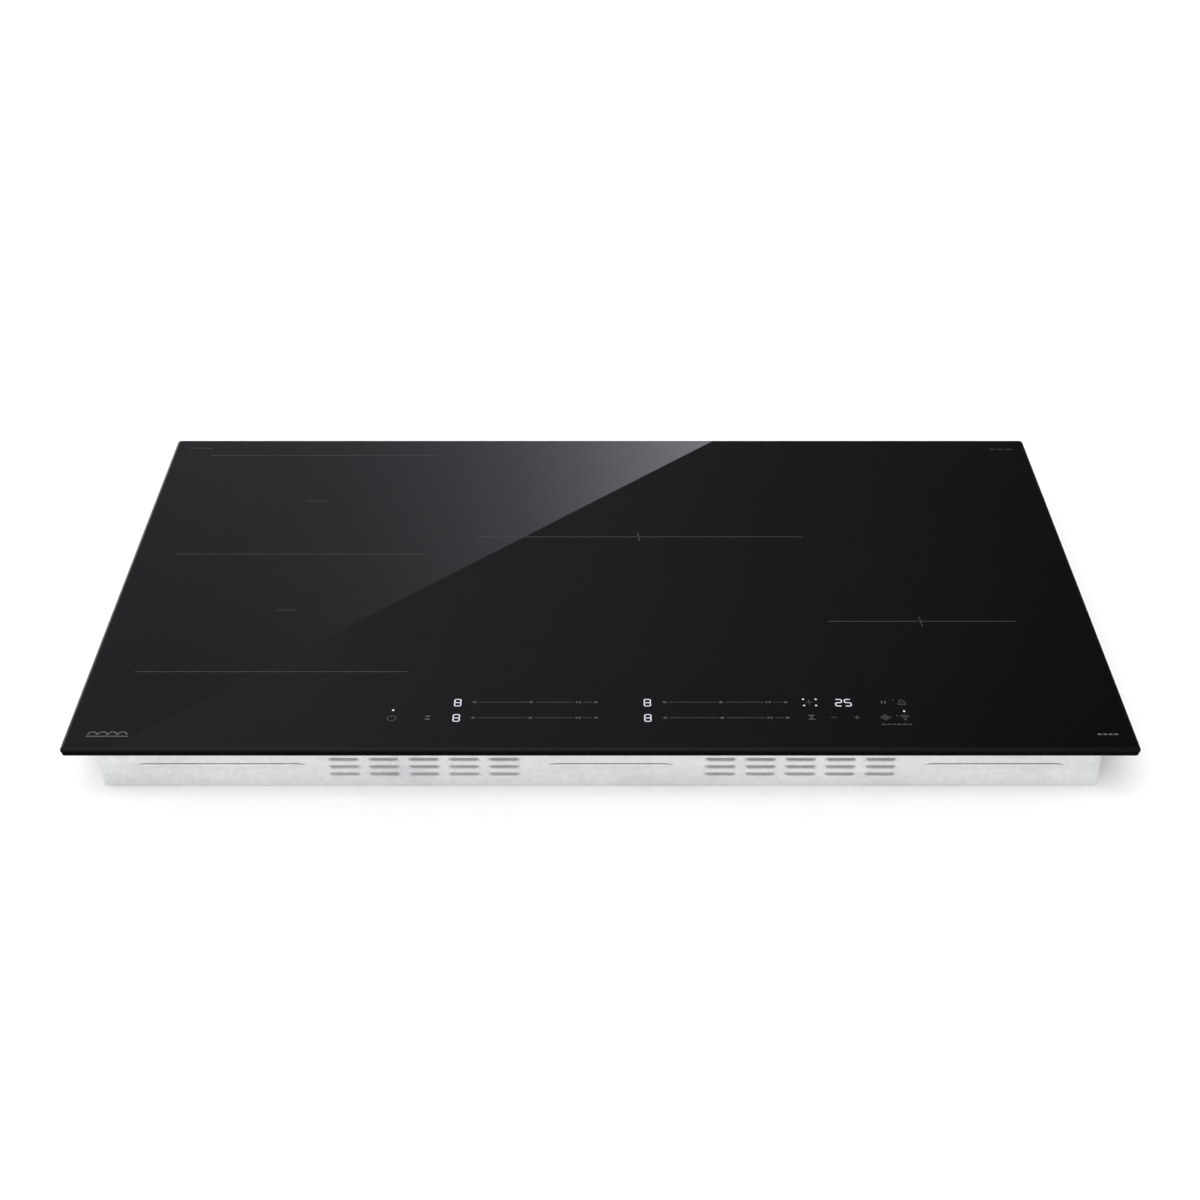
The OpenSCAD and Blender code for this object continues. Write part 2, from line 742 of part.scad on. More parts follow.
// Plastic box for the mains connection, with a bezel outside the wall and two hinge ears
module terminal_housing() {
    ear = [[box_x[0] - 6, box_x[0] - 0.5], [box_x[1] + 0.5, box_x[1] + 6]];
    color([0.16, 0.16, 0.17]) difference() {
        union() {
            block([box_x[0], box_front, box_z[0]], [box_x[1], recess_y + 0.5, box_z[1]]);
            block([box_x[0] - 6, recess_y, 4], [box_x[1] + 6, recess_y + 1.5, 39]);
            for (e = ear) {
                bar_x(e[0], hinge_y, hinge_z, knuckle_r, e[1] - e[0]);
                block([e[0], recess_y + 1, hinge_z - knuckle_r], [e[1], hinge_y, hinge_z + knuckle_r]);
            }
        }
        block([box_x[0] + 2, box_front + 2, box_z[0] + 2], [box_x[1] - 2, recess_y + 5, box_z[1] - 2]);
        bar_x(box_x[0] - 10, hinge_y, hinge_z, pin_r + running, box_x[1] - box_x[0] + 20);
        for (i = [-1:1]) bar_y(-345 + 5 * i, box_front - 1, 20, lead_r + 0.2, 4);
    }
}

// Six-way terminal block
module terminal_block() {
    color([0.9, 0.89, 0.86]) difference() {
        block([-386, 193, box_z[0] + 2], [-316, 209, 25]);
        for (i = [0:terminals - 1]) {
            translate([terminal_x + i * terminal_pitch, 203, 15]) cylinder(r = 2.2, h = 12);
            bar_y(terminal_x + i * terminal_pitch, 199, 14, 2.4, 12);
        }
    }
}

// Brass screws in the terminal block
module terminal_screws() {
    color([0.8, 0.65, 0.3]) for (i = [0:terminals - 1])
        translate([terminal_x + i * terminal_pitch, 203, 17]) difference() {
            cylinder(r = 2.1, h = 6);
            translate([0, 0, 5.6]) cube([5, slot_w, 1.6], center = true);
        }
}

// Hinged cover of the mains connection
module terminal_cover() {
    x = [box_x[0] - 0.2, box_x[1] + 0.2];
    color([0.14, 0.14, 0.15]) difference() {
        union() {
            block([x[0], cover_y, 5], [x[1], cover_y + cover_t, 35]);
            bar_x(box_x[0], hinge_y, hinge_z, knuckle_r, box_x[1] - box_x[0]);
            block([box_x[0], cover_y + 0.4, 34], [box_x[1], hinge_y - 0.6, hinge_z]);
            block([-361, cover_y + 1, 5], [-341, cover_y + 5, 7]);
        }
        bar_x(box_x[0] - 1, hinge_y, hinge_z, pin_r + running, box_x[1] - box_x[0] + 2);
    }
}

// Steel pin through the ears and the cover
module cover_hinge_pin() {
    color([0.78, 0.78, 0.8]) bar_x(box_x[0] - 5, hinge_y, hinge_z, pin_r, box_x[1] - box_x[0] + 10);
}

// Snap-in bush where the mains cable enters, held by a ridge behind the plate
module cable_bush() {
    color([0.1, 0.1, 0.1]) difference() {
        union() {
            bar_y(bush_at.x, recess_y - 6, bush_at.y, bush_body_r, 8.5);
            bar_y(bush_at.x, recess_y, bush_at.y, bush_flange_r, 2.5);
            bar_y(bush_at.x, recess_y - 4, bush_at.y, bush_body_r + 2, 2.8);
        }
        bar_y(bush_at.x, recess_y - 7, bush_at.y, bush_r, 12);
    }
}

// Earthing stud with its nut and washer
module earth_stud() {
    color([0.8, 0.65, 0.3]) {
        bar_y(stud_at.x, recess_y - 8, stud_at.y, 2, 16);
        bar_y(stud_at.x, recess_y - 4, stud_at.y, 4.5, 3);
        translate([stud_at.x, recess_y, stud_at.y]) rotate([-90, 0, 0]) cylinder(r = 4.04, h = 3.2, $fn = 6);
    }
}

// Screws that draw the clamps up, heads down
module clamp_screws() {
    color([0.75, 0.75, 0.78]) for (sx = [-1, 1], sy = [-1, 1])
        translate([sx * clamp_x, sy * clamp_y, head_z]) difference() {
            union() {
                cylinder(r = 4.2, h = head_h);
                cylinder(r = screw_r, h = frame_z - head_z - 2);
            }
            for (a = [0, 90]) rotate(a) cube([5.2, 1.1, 3.6], center = true);
        }
}

// Hexagonal nut that lifts a clamp arm
module clamp_nut(sx, sy) {
    color([0.7, 0.7, 0.72]) translate([sx * clamp_x, sy * clamp_y, nut_z]) difference() {
        cylinder(r = nut_r, h = nut_h, $fn = 6);
        translate([0, 0, -1]) cylinder(r = screw_r + running, h = nut_h + 2);
    }
}

// Cranked clamp arm, parked along the side of the casing
module clamp_arm(sx, sy) {
    z = nut_z + nut_h;
    color([0.72, 0.73, 0.75]) translate([sx * clamp_x, sy * clamp_y, z]) rotate(-90 * sy) difference() {
        union() {
            cylinder(r = arm_w / 2 + 0.5, h = arm_t);
            translate([0, -arm_w / 2, 0]) cube([clamp_reach - jaw_l + arm_t, arm_w, arm_t]);
            translate([clamp_reach - jaw_l, -arm_w / 2, 0]) cube([arm_t, arm_w, jaw_z - z]);
            translate([clamp_reach - jaw_l, -arm_w / 2, jaw_z - z - jaw_t]) cube([jaw_l, arm_w, jaw_t]);
        }
        translate([0, 0, -1]) cylinder(r = screw_r + running, h = arm_t + 2);
    }
}

glass_top();
worktop_seal();
silicone_bond();
glass_frame();
casing_screws();
base_tray();
connection_plate();
tray_feet();
fan_grilles();
coil_plate();
plate_posts();
oval_coil(flex_front);  // flex_front_coil
oval_coil(flex_rear);  // flex_rear_coil
centre_coil();
right_coil();
oval_former(flex_front);  // flex_front_former
oval_former(flex_rear);  // flex_rear_former
round_former(centre_at, outer_coil_r);  // centre_former
round_former(right_at, right_coil_r);  // right_former
ferrite_bars();
coil_buffers();
insulation_mats();
temperature_sensors();
internal_wiring();
ui_carrier();
ui_board();
led_displays();
touch_pads();
board_carriers();
board(filter_x, filter_y);  // filter_board
filter_choke();
capacitors();
board(board_x[0], board_y);  // power_board_left
board(board_x[1], board_y);  // power_board_right
heatsink(sink_x[0]);  // heatsink_left
heatsink(sink_x[1]);  // heatsink_right
power_transistors();
radio_module();
fan_housing(fan_at[0]);  // fan_left_housing
fan_housing(fan_at[1]);  // fan_right_housing
fan_motor(fan_at[0]);  // fan_left_motor
fan_motor(fan_at[1]);  // fan_right_motor
fan_impeller(fan_at[0]);  // fan_left_impeller
fan_impeller(fan_at[1]);  // fan_right_impeller
terminal_housing();
terminal_block();
terminal_screws();
terminal_cover();
cover_hinge_pin();
cable_bush();
earth_stud();
clamp_screws();
clamp_nut(-1, -1);  // clamp_nut_front_left
clamp_nut(1, -1);  // clamp_nut_front_right
clamp_nut(-1, 1);  // clamp_nut_rear_left
clamp_nut(1, 1);  // clamp_nut_rear_right
clamp_arm(-1, -1);  // clamp_arm_front_left
clamp_arm(1, -1);  // clamp_arm_front_right
clamp_arm(-1, 1);  // clamp_arm_rear_left
clamp_arm(1, 1);  // clamp_arm_rear_right
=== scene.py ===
import json
import math

import bmesh
import bpy
from mathutils import Euler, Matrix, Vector
from mathutils.geometry import tessellate_polygon


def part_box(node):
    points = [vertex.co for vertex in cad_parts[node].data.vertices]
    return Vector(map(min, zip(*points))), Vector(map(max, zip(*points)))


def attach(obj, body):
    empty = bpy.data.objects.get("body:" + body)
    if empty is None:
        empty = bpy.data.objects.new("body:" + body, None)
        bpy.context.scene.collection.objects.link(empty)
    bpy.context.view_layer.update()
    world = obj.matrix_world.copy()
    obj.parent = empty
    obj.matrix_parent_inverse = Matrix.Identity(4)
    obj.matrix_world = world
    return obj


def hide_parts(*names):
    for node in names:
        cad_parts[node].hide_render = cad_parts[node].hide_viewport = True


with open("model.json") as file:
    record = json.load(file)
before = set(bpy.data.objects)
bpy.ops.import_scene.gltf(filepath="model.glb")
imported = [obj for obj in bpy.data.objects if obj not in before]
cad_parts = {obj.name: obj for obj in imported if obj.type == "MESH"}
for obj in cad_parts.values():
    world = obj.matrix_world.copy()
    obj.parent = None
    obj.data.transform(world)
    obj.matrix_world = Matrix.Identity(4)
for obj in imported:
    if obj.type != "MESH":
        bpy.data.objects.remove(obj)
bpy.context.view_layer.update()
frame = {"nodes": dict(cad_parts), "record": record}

MM = 0.001
TAU = 2 * math.pi
UP = (0, 0, 1)
HOB = "hob"
SAME_POINT = 0.001 * MM    # points closer than this are one point
SHARP = 35.0               # degrees between faces that don't shade as one
ROUND = 0.3                # how far in the middle of a rounded edge lies, as a share of its width


# ---------------------------------------------------------------- geometry in millimetres

def span(node):
    """Lowest and highest corner of a CAD node, in millimetres."""
    low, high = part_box(node)
    return low / MM, high / MM


class Shape:
    """Points in millimetres and faces, gathered before they become one piece."""

    def __init__(self):
        self.points, self.faces, self.finishes = [], [], []

    def add(self, points, faces, finish=0):
        start = len(self.points)
        self.points += [tuple(p) for p in points]
        self.faces += [[start + i for i in face] for face in faces]
        self.finishes += [finish] * len(faces)

    def shift(self, x, y):
        self.points = [(p[0] + x, p[1] + y, p[2]) for p in self.points]

    def loft(self, rings, finish=0, caps=(True, True), loop=False):
        """Skins rings of equal length, in order; loop joins the last ring to the first."""
        n = len(rings[0])
        pairs = [(r, r + 1) for r in range(len(rings) - 1)]
        if loop:
            pairs.append((len(rings) - 1, 0))
            caps = (False, False)
        faces = [
            [a * n + i, a * n + (i + 1) % n, b * n + (i + 1) % n, b * n + i]
            for a, b in pairs for i in range(n)
        ]
        if caps[0]:
            faces.append(list(range(n))[::-1])
        if caps[1]:
            faces.append([(len(rings) - 1) * n + i for i in range(n)])
        self.add([p for ring in rings for p in ring], faces, finish)


def placed(points, at=(0, 0, 0), axis=UP, turn=0.0):
    """Points made about +Z, turned about it, tilted so that +Z becomes axis, and moved to at."""
    tilt = Vector(UP).rotation_difference(Vector(axis))
    spin = Euler((0, 0, turn)).to_quaternion()
    return [tilt @ (spin @ Vector(p)) + Vector(at) for p in points]


def lifted(outline, z):
    """A flat outline's points at one height."""
    return [(x, y, z) for x, y in outline]


def ring(radius, height, n):
    return [(radius * math.cos(TAU * i / n), radius * math.sin(TAU * i / n), height)
            for i in range(n)]


def turned(shape, profile, at=(0, 0, 0), axis=UP, n=32, loop=False):
    """A body of revolution from (radius, height) points; loop closes the profile round a hole."""
    shape.loft([placed(ring(r, h, n), at, axis) for r, h in profile], loop=loop)


def inset(outline, d):
    """A counter-clockwise outline moved inward by d."""
    moved = []
    n = len(outline)
    for i in range(n):
        a, b, c = (Vector(outline[(i + k) % n]) for k in (-1, 0, 1))
        u, v = (b - a).normalized(), (c - b).normalized()
        left = Vector((-u.y - v.y, u.x + v.x))
        left.normalize()
        reach = max(0.3, left.dot(Vector((-u.y, u.x))))    # keeps a sharp corner near
        moved.append(tuple(b + left * (d / reach)))
    return moved


def plate(shape, outline, z0, z1, edge=0.0, finish=0, at=(0, 0, 0), axis=UP):
    """A prism on a counter-clockwise outline, its top and bottom edges rounded off by edge."""
    levels = [(0.0, z0), (0.0, z1)]
    if edge:
        near = ROUND * edge
        levels = [(edge, z0), (near, z0 + near), (0.0, z0 + edge),
                  (0.0, z1 - edge), (near, z1 - near), (edge, z1)]
    shape.loft([placed(lifted(inset(outline, d) if d else outline, z), at, axis)
                for d, z in levels], finish)


def oblong(width, depth, radius, steps=4):
    """Counter-clockwise outline of a rounded rectangle round the origin."""
    points = []
    for k, (sx, sy) in enumerate(((1, 1), (-1, 1), (-1, -1), (1, -1))):
        for i in range(steps + 1):
            a = math.radians(90 * k + 90 * i / steps)
            points.append((sx * (width / 2 - radius) + radius * math.cos(a),
                           sy * (depth / 2 - radius) + radius * math.sin(a)))
    return points


def brick(shape, low, high, edge):
    """A box between two corners with rounded edges."""
    line = oblong(high[0] - low[0], high[1] - low[1], edge, 2)
    at = ((low[0] + high[0]) / 2, (low[1] + high[1]) / 2, 0)
    plate(shape, line, low[2], high[2], edge, at=at)


def piece(name, shape, finishes, slot=None, body=HOB, sharp=SHARP, stands_for=(), weld=False):
    """Makes one object of a shape, in place, riding on its body."""
    mesh = bpy.data.meshes.new(name)
    mesh.from_pydata([[c * MM for c in p] for p in shape.points], [], shape.faces)
    mesh.polygons.foreach_set("material_index", shape.finishes)
    work = bmesh.new()
    work.from_mesh(mesh)
    if weld:
        bmesh.ops.remove_doubles(work, verts=work.verts, dist=SAME_POINT)
    bmesh.ops.recalc_face_normals(work, faces=work.faces)
    work.to_mesh(mesh)
    work.free()
    mesh.polygons.foreach_set("use_smooth", [True] * len(mesh.polygons))
    mesh.set_sharp_from_angle(angle=math.radians(sharp))
    for finish in finishes:
        mesh.materials.append(finish)
    made = bpy.data.objects.new(name, mesh)
    bpy.context.scene.collection.objects.link(made)
    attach(made, body)
    if stands_for:
        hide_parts(*stands_for)
    return made


# ---------------------------------------------------------------- materials

MIX_SHARE, MIX_A, MIX_B, MIX_RESULT = 0, 6, 7, 2    # sockets of a Mix node set to colour


class Nodes:
    """Shorthand for building the node tree of a material or a world."""

    def __init__(self, owner):
        owner.use_nodes = True
        self.owner, self.tree = owner, owner.node_tree
        self.shader = self.tree.nodes.get("Principled BSDF")

    def new(self, kind, **values):
        made = self.tree.nodes.new(kind)
        for key, value in values.items():
            if key in made.inputs:
                made.inputs[key].default_value = value
            else:
                setattr(made, key, value)
        return made

    def link(self, a, out, b, into):
        self.tree.links.new(a.outputs[out], b.inputs[into])

    def place(self, scale=1.0, stretch=(1, 1, 1)):
        """Object coordinates in metres, scaled."""
        where = self.new("ShaderNodeTexCoord")
        sized = self.new("ShaderNodeMapping")
        sized.inputs["Scale"].default_value = [scale * s for s in stretch]
        self.link(where, "Object", sized, "Vector")
        return sized

    def texture(self, kind, scale, stretch=(1, 1, 1), detail=4.0, warp=0.0):
        """A texture node and the name of its grey output."""
        where = self.place(scale, stretch)
        if kind in ("noise", "wave"):
            made = self.new("ShaderNodeTex" + kind.title(), Scale=1.0, Detail=detail,
                            Distortion=warp)
            out = "Fac"
        else:
            made = self.new("ShaderNodeTexVoronoi", Scale=1.0)
            out = {"cells": "Color", "pits": "Distance"}[kind]
        self.link(where, "Vector", made, "Vector")
        return made, out

    def ramp(self, source, out, stops, sink=None, into=None):
        """Sends a grey value through a colour ramp of (place, colour) stops."""
        made = self.new("ShaderNodeValToRGB")
        points = made.color_ramp.elements
        while len(points) < len(stops):
            points.new(0.5)
        for point, (at, colour) in zip(points, stops):
            point.position = at
            point.color = (*colour, 1.0)
        self.link(source, out, made, "Fac")
        if sink:
            self.link(made, "Color", sink, into)
        return made

    def spread(self, source, out, low, high, sink=None, into=None, start=0.3, stop=0.7):
        """Maps a grey value from start..stop to low..high."""
        made = self.new("ShaderNodeMapRange", **{"From Min": start, "From Max": stop,
                                                 "To Min": low, "To Max": high})
        self.link(source, out, made, "Value")
        if sink:
            self.link(made, "Result", sink, into)
        return made

    def mixed(self, blend, a, b=None):
        """A colour mix of two nodes' colours, or of one and black."""
        made = self.new("ShaderNodeMix", data_type="RGBA", blend_type=blend)
        made.inputs[MIX_SHARE].default_value = 1.0
        self.link(a, "Color", made, MIX_A)
        if b:
            self.link(b, "Color", made, MIX_B)
        else:
            made.inputs[MIX_B].default_value = (0, 0, 0, 1)
        return made

    def relief(self, source, out, strength, depth):
        made = self.new("ShaderNodeBump", Strength=strength, Distance=depth * MM)
        self.link(source, out, made, "Height")
        self.link(made, "Normal", self.shader, "Normal")

    def constant(self, key, value):
        self.shader.inputs[key].default_value = value


def material(name):
    return Nodes(bpy.data.materials.new(name))


def finish(name, tones, rough, grain, relief, constants=None):
    """A material with colour variation, uneven roughness and relief.

    tones: (kind, scale per metre, stretch, dark colour, light colour).
    rough: (low, high, scale per metre). relief: (strength, depth in mm).
    grain: (kind, scale per metre, stretch) of the relief."""
    made = material(name)
    kind, scale, stretch, dark, light = tones
    colour, out = made.texture(kind, scale, stretch)
    middle = [(a + b) / 2 for a, b in zip(dark, light)]
    made.ramp(colour, out, [(0.25, dark), (0.5, middle), (0.78, light)], made.shader, "Base Color")
    gloss, gloss_out = made.texture("noise", rough[2], detail=3.0)
    made.spread(gloss, gloss_out, rough[0], rough[1], made.shader, "Roughness")
    surface, surface_out = made.texture(*grain)
    made.relief(surface, surface_out, *relief)
    for key, value in (constants or {}).items():
        made.constant(key, value)
    return made.owner


EVEN = (1, 1, 1)
ALONG_X = (0.06, 1, 1)
STRANDS = (1, 1, 2.6)
METAL = {"Metallic": 1.0}


def dull(level):
    return {"Specular IOR Level": level}


LOOKS = {
    "foam_tape": (("noise", 300, EVEN, (0.0015, 0.0015, 0.0016), (0.004, 0.004, 0.0042)),
                  (0.75, 0.95, 200), ("pits", 1400, EVEN), (0.5, 0.2), dull(0.02)),
    "silicone": (("noise", 80, EVEN, (0.016, 0.016, 0.017), (0.032, 0.032, 0.034)),
                 (0.3, 0.5, 90), ("noise", 220, EVEN), (0.25, 0.2)),
    "frame_steel": (("noise", 60, EVEN, (0.018, 0.018, 0.02), (0.03, 0.03, 0.033)),
                    (0.36, 0.5, 120), ("noise", 1100, EVEN), (0.3, 0.08)),
    "zinc_steel": (("noise", 180, EVEN, (0.52, 0.53, 0.55), (0.74, 0.75, 0.78)),
                   (0.2, 0.36, 260), ("noise", 900, EVEN), (0.12, 0.03), METAL),
    "spring_steel": (("noise", 500, ALONG_X, (0.36, 0.37, 0.39), (0.56, 0.57, 0.59)),
                     (0.26, 0.42, 180), ("noise", 1500, ALONG_X), (0.2, 0.03), METAL),
    "rubber": (("noise", 150, EVEN, (0.014, 0.014, 0.014), (0.034, 0.034, 0.033)),
               (0.6, 0.82, 160), ("noise", 1600, EVEN), (0.35, 0.06), dull(0.3)),
    "black_plastic": (("noise", 120, EVEN, (0.014, 0.014, 0.015), (0.026, 0.026, 0.028)),
                      (0.4, 0.56, 150), ("pits", 2200, EVEN), (0.22, 0.05)),
    "light_plastic": (("noise", 70, EVEN, (0.68, 0.67, 0.63), (0.8, 0.79, 0.76)),
                      (0.36, 0.5, 110), ("noise", 1500, EVEN), (0.2, 0.04)),
    "grey_plastic": (("noise", 90, EVEN, (0.4, 0.4, 0.4), (0.55, 0.55, 0.54)),
                     (0.38, 0.52, 110), ("noise", 1400, EVEN), (0.2, 0.04)),
    "aluminium": (("noise", 240, ALONG_X, (0.66, 0.67, 0.69), (0.84, 0.85, 0.87)),
                  (0.28, 0.42, 120), ("noise", 1300, ALONG_X), (0.16, 0.04), METAL),
    "copper": (("wave", 900, STRANDS, (0.34, 0.12, 0.05), (0.72, 0.33, 0.16)),
               (0.28, 0.44, 260), ("wave", 900, STRANDS), (0.45, 0.15), {"Metallic": 0.85}),
    "mica_board": (("pits", 220, (1, 1, 0.3), (0.56, 0.51, 0.4), (0.8, 0.76, 0.67)),
                   (0.32, 0.6, 260), ("pits", 320, EVEN), (0.25, 0.08)),
    "ferrite": (("noise", 1400, EVEN, (0.03, 0.03, 0.033), (0.09, 0.09, 0.095)),
                (0.42, 0.6, 220), ("noise", 1800, EVEN), (0.3, 0.06)),
    "red_silicone": (("noise", 160, EVEN, (0.36, 0.05, 0.03), (0.52, 0.09, 0.05)),
                     (0.45, 0.6, 120), ("noise", 900, EVEN), (0.2, 0.05)),
    "ceramic_fibre": (("noise", 500, (1, 0.25, 1), (0.7, 0.69, 0.63), (0.88, 0.87, 0.83)),
                      (0.85, 0.97, 150), ("noise", 1300, (1, 0.3, 1)), (0.7, 0.3),
                      {"Sheen Weight": 0.3}),
    "sensor_ceramic": (("noise", 400, EVEN, (0.74, 0.74, 0.73), (0.86, 0.86, 0.85)),
                       (0.22, 0.36, 200), ("noise", 700, EVEN), (0.15, 0.04)),
    "wire_sleeve": (("noise", 200, EVEN, (0.34, 0.035, 0.025), (0.5, 0.07, 0.045)),
                    (0.4, 0.55, 160), ("noise", 1000, EVEN), (0.2, 0.05)),
    "brass": (("noise", 160, EVEN, (0.5, 0.34, 0.13), (0.76, 0.57, 0.27)),
              (0.22, 0.38, 240), ("noise", 1100, EVEN), (0.12, 0.03), METAL),
}
FINISHES = {name: finish(name, *look) for name, look in LOOKS.items()}


def galvanised():
    """Hot-dip spangle: each crystal has its own shade and gloss, with soft marks along X."""
    made = material("galvanised_steel")
    cells, out = made.texture("cells", 230)
    grey = made.new("ShaderNodeSeparateColor")
    made.link(cells, out, grey, "Color")
    shade = made.ramp(grey, "Red", [(0.0, (0.71, 0.722, 0.73)), (0.5, (0.74, 0.752, 0.76)),
                                    (1.0, (0.77, 0.78, 0.788))])
    stain, stain_out = made.texture("noise", 22, (0.5, 1, 1), detail=6.0)
    weather = made.ramp(stain, stain_out, [(0.3, (0.86, 0.87, 0.88)), (0.5, (0.97, 0.97, 0.97)),
                                           (0.7, (1, 1, 1))])
    made.link(made.mixed("MULTIPLY", shade, weather), MIX_RESULT, made.shader, "Base Color")
    made.spread(grey, "Green", 0.38, 0.44, made.shader, "Roughness", 0.0, 1.0)
    grain, grain_out = made.texture("noise", 700, ALONG_X)
    made.relief(grain, grain_out, 0.12, 0.05)
    made.constant("Metallic", 0.9)
    return made.owner


def circuit():
    """Green solder mask over copper tracks."""
    made = material("green_board")
    where = made.place()
    tracks = made.new("ShaderNodeTexBrick", Scale=95.0, offset=0.37, squash=1.7)
    for key, value in (("Color1", (0.012, 0.11, 0.05, 1)), ("Color2", (0.022, 0.16, 0.075, 1)),
                       ("Mortar", (0.006, 0.06, 0.028, 1)), ("Mortar Size", 0.05)):
        tracks.inputs[key].default_value = value
    made.link(where, "Vector", tracks, "Vector")
    made.link(tracks, "Color", made.shader, "Base Color")
    gloss, out = made.texture("noise", 120)
    made.spread(gloss, out, 0.22, 0.36, made.shader, "Roughness")
    made.relief(tracks, "Fac", 0.3, 0.05)
    return made.owner


FINISHES["galvanised_steel"] = galvanised()
FINISHES["green_board"] = circuit()


def glass_face():
    """Polished black glass-ceramic with faint wipe marks."""
    made = material("glass_face")
    body, out = made.texture("noise", 9, detail=3.0)
    made.ramp(body, out, [(0.3, (0.0010, 0.0010, 0.0012)), (0.7, (0.0016, 0.0016, 0.0018))],
              made.shader, "Base Color")
    wipes, wipes_out = made.texture("noise", 14, (1, 0.25, 1), detail=5.0, warp=0.6)
    made.spread(wipes, wipes_out, 0.004, 0.014, made.shader, "Roughness", 0.35, 0.75)
    made.relief(body, out, 0.002, 0.02)
    made.constant("IOR", 1.5)
    return made.owner


GLASS_FACE = glass_face()
GLASS_ARRIS = finish(
    "glass_arris", ("noise", 120, EVEN, (0.002, 0.002, 0.0023), (0.004, 0.004, 0.0045)),
    (0.08, 0.14, 200), ("noise", 900, EVEN), (0.05, 0.01), dull(0.8))
GLASS_EDGE = finish(
    "glass_edge", ("noise", 200, EVEN, (0.0012, 0.0012, 0.0014), (0.003, 0.003, 0.0034)),
    (0.35, 0.5, 260), ("noise", 1200, EVEN), (0.15, 0.03), dull(0.06))
GLASS_FOOT = finish(
    "glass_foot", ("noise", 200, EVEN, (0.0008, 0.0008, 0.0009), (0.002, 0.002, 0.0022)),
    (0.6, 0.8, 260), ("noise", 1200, EVEN), (0.15, 0.03), dull(0.01))


def print_ink(name, dark, light):
    """Screen-printed ceramic enamel, slightly uneven."""
    return finish(name, ("noise", 420, EVEN, dark, light), (0.45, 0.6, 300),
                  ("noise", 1500, EVEN), (0.2, 0.02), dull(0.3))


INK = print_ink("enamel_print", (0.036, 0.036, 0.038), (0.052, 0.052, 0.055))
INK_EMBLEM = print_ink("enamel_emblem", (0.1, 0.1, 0.104), (0.14, 0.14, 0.146))
INK_BRIGHT = print_ink("enamel_print_light", (0.07, 0.07, 0.073), (0.1, 0.1, 0.105))


def lamp(name, colour, strength):
    """Light from a display under the glass, a little uneven as a diffuser makes it."""
    made = material(name)
    cloud, out = made.texture("noise", 260)
    made.ramp(cloud, out, [(0.2, [0.86 * c for c in colour]), (0.7, colour)],
              made.shader, "Emission Color")
    made.ramp(cloud, out, [(0.2, (0.3, 0.3, 0.32)), (0.7, (0.4, 0.4, 0.42))],
              made.shader, "Base Color")
    made.spread(cloud, out, 0.4, 0.5, made.shader, "Roughness")
    made.relief(cloud, out, 0.05, 0.01)
    made.constant("Emission Strength", strength)
    return made.owner


LIT = lamp("lit_segment", (0.84, 0.80, 1.0), 0.62)

for row in frame["record"]["subparts"]:
    if row["material_slot"] in FINISHES:
        for one in frame["nodes"][row["node"]].material_slots:
            one.material = FINISHES[row["material_slot"]]


def fitting(name, shape, slot, body=HOB, **rest):
    """A piece with the finish of one of the record's materials."""
    return piece(name, shape, [FINISHES[slot]], slot, body, **rest)


# ---------------------------------------------------------------- glass plate and its prints

glass_low, glass_high = span("glass_top")
GLASS_W, GLASS_D = glass_high.x - glass_low.x, glass_high.y - glass_low.y
BOTTOM, TOP = glass_low.z, glass_high.z
CORNER = 2.0                   # radius of the plate's corners, seen from above
CORNER_STEPS = 8
FACET_W, FACET_H = 2.45, 1.07  # the ground facet round the top
REAR_SHARE = 0.15              # its width at the rear edge, as a share of that
FOOT_H = 1.0                   # the darkest part of the edge, next to the seal
PRINT_T = 0.05
CONTROLS = (-0.6, 1.2)         # moves all the printed and lit controls


def make_glass():
    """The plate, its facet wide at the front and sides and narrow at the back."""
    foot = [(0.35, BOTTOM), (0.1, BOTTOM + 0.1), (0.0, BOTTOM + 0.35), (0.0, BOTTOM + FOOT_H)]
    edge = [(0.0, BOTTOM + FOOT_H), (0.0, TOP - FACET_H)]
    facet = [(0.0, TOP - FACET_H), (0.08, TOP - 1.0), (2.2, TOP - 0.05), (FACET_W, TOP)]

    def rounds(levels):
        lines = []
        for d, z in levels:
            outline = oblong(GLASS_W - 2 * d, GLASS_D - d - REAR_SHARE * d,
                             max(0.3, CORNER - d), CORNER_STEPS)
            lines.append([(x, y + (1 - REAR_SHARE) * d / 2, z) for x, y in outline])
        return lines

    shape = Shape()
    finishes = [GLASS_FACE, GLASS_ARRIS, GLASS_EDGE, GLASS_FOOT]
    shape.loft(rounds(foot), finishes.index(GLASS_FOOT), caps=(True, False))
    shape.loft(rounds(edge), finishes.index(GLASS_EDGE), caps=(False, False))
    shape.loft(rounds(facet), finishes.index(GLASS_ARRIS), caps=(False, False))
    top = rounds(facet)[-1]
    shape.add(top, [list(range(len(top)))], finishes.index(GLASS_FACE))
    made = piece("glass_plate", shape, finishes, "glass_ceramic", stands_for=("glass_top",))
    mesh = made.data
    work = bmesh.new()
    work.from_mesh(mesh)
    bmesh.ops.remove_doubles(work, verts=work.verts, dist=SAME_POINT)
    bmesh.ops.recalc_face_normals(work, faces=work.faces)
    for face in work.faces:
        face.smooth = len(face.verts) == 4
    work.to_mesh(mesh)
    work.free()


def patch(shape, outline, finish=0, at=(0, 0, 0)):
    """A printed area on the glass."""
    plate(shape, outline, TOP, TOP + PRINT_T, finish=finish, at=at)


def stroke(shape, a, b, width, finish=0):
    """A printed line between two points on the glass."""
    a, b = Vector(a), Vector(b)
    along = (b - a).normalized()
    side = Vector((-along.y, along.x)) * (width / 2)
    patch(shape, [tuple(a - side), tuple(b - side), tuple(b + side), tuple(a + side)], finish)


def dot(shape, x, y, radius, n=20):
    turned(shape, [(radius, TOP), (radius, TOP + PRINT_T)], (x, y, 0), n=n)


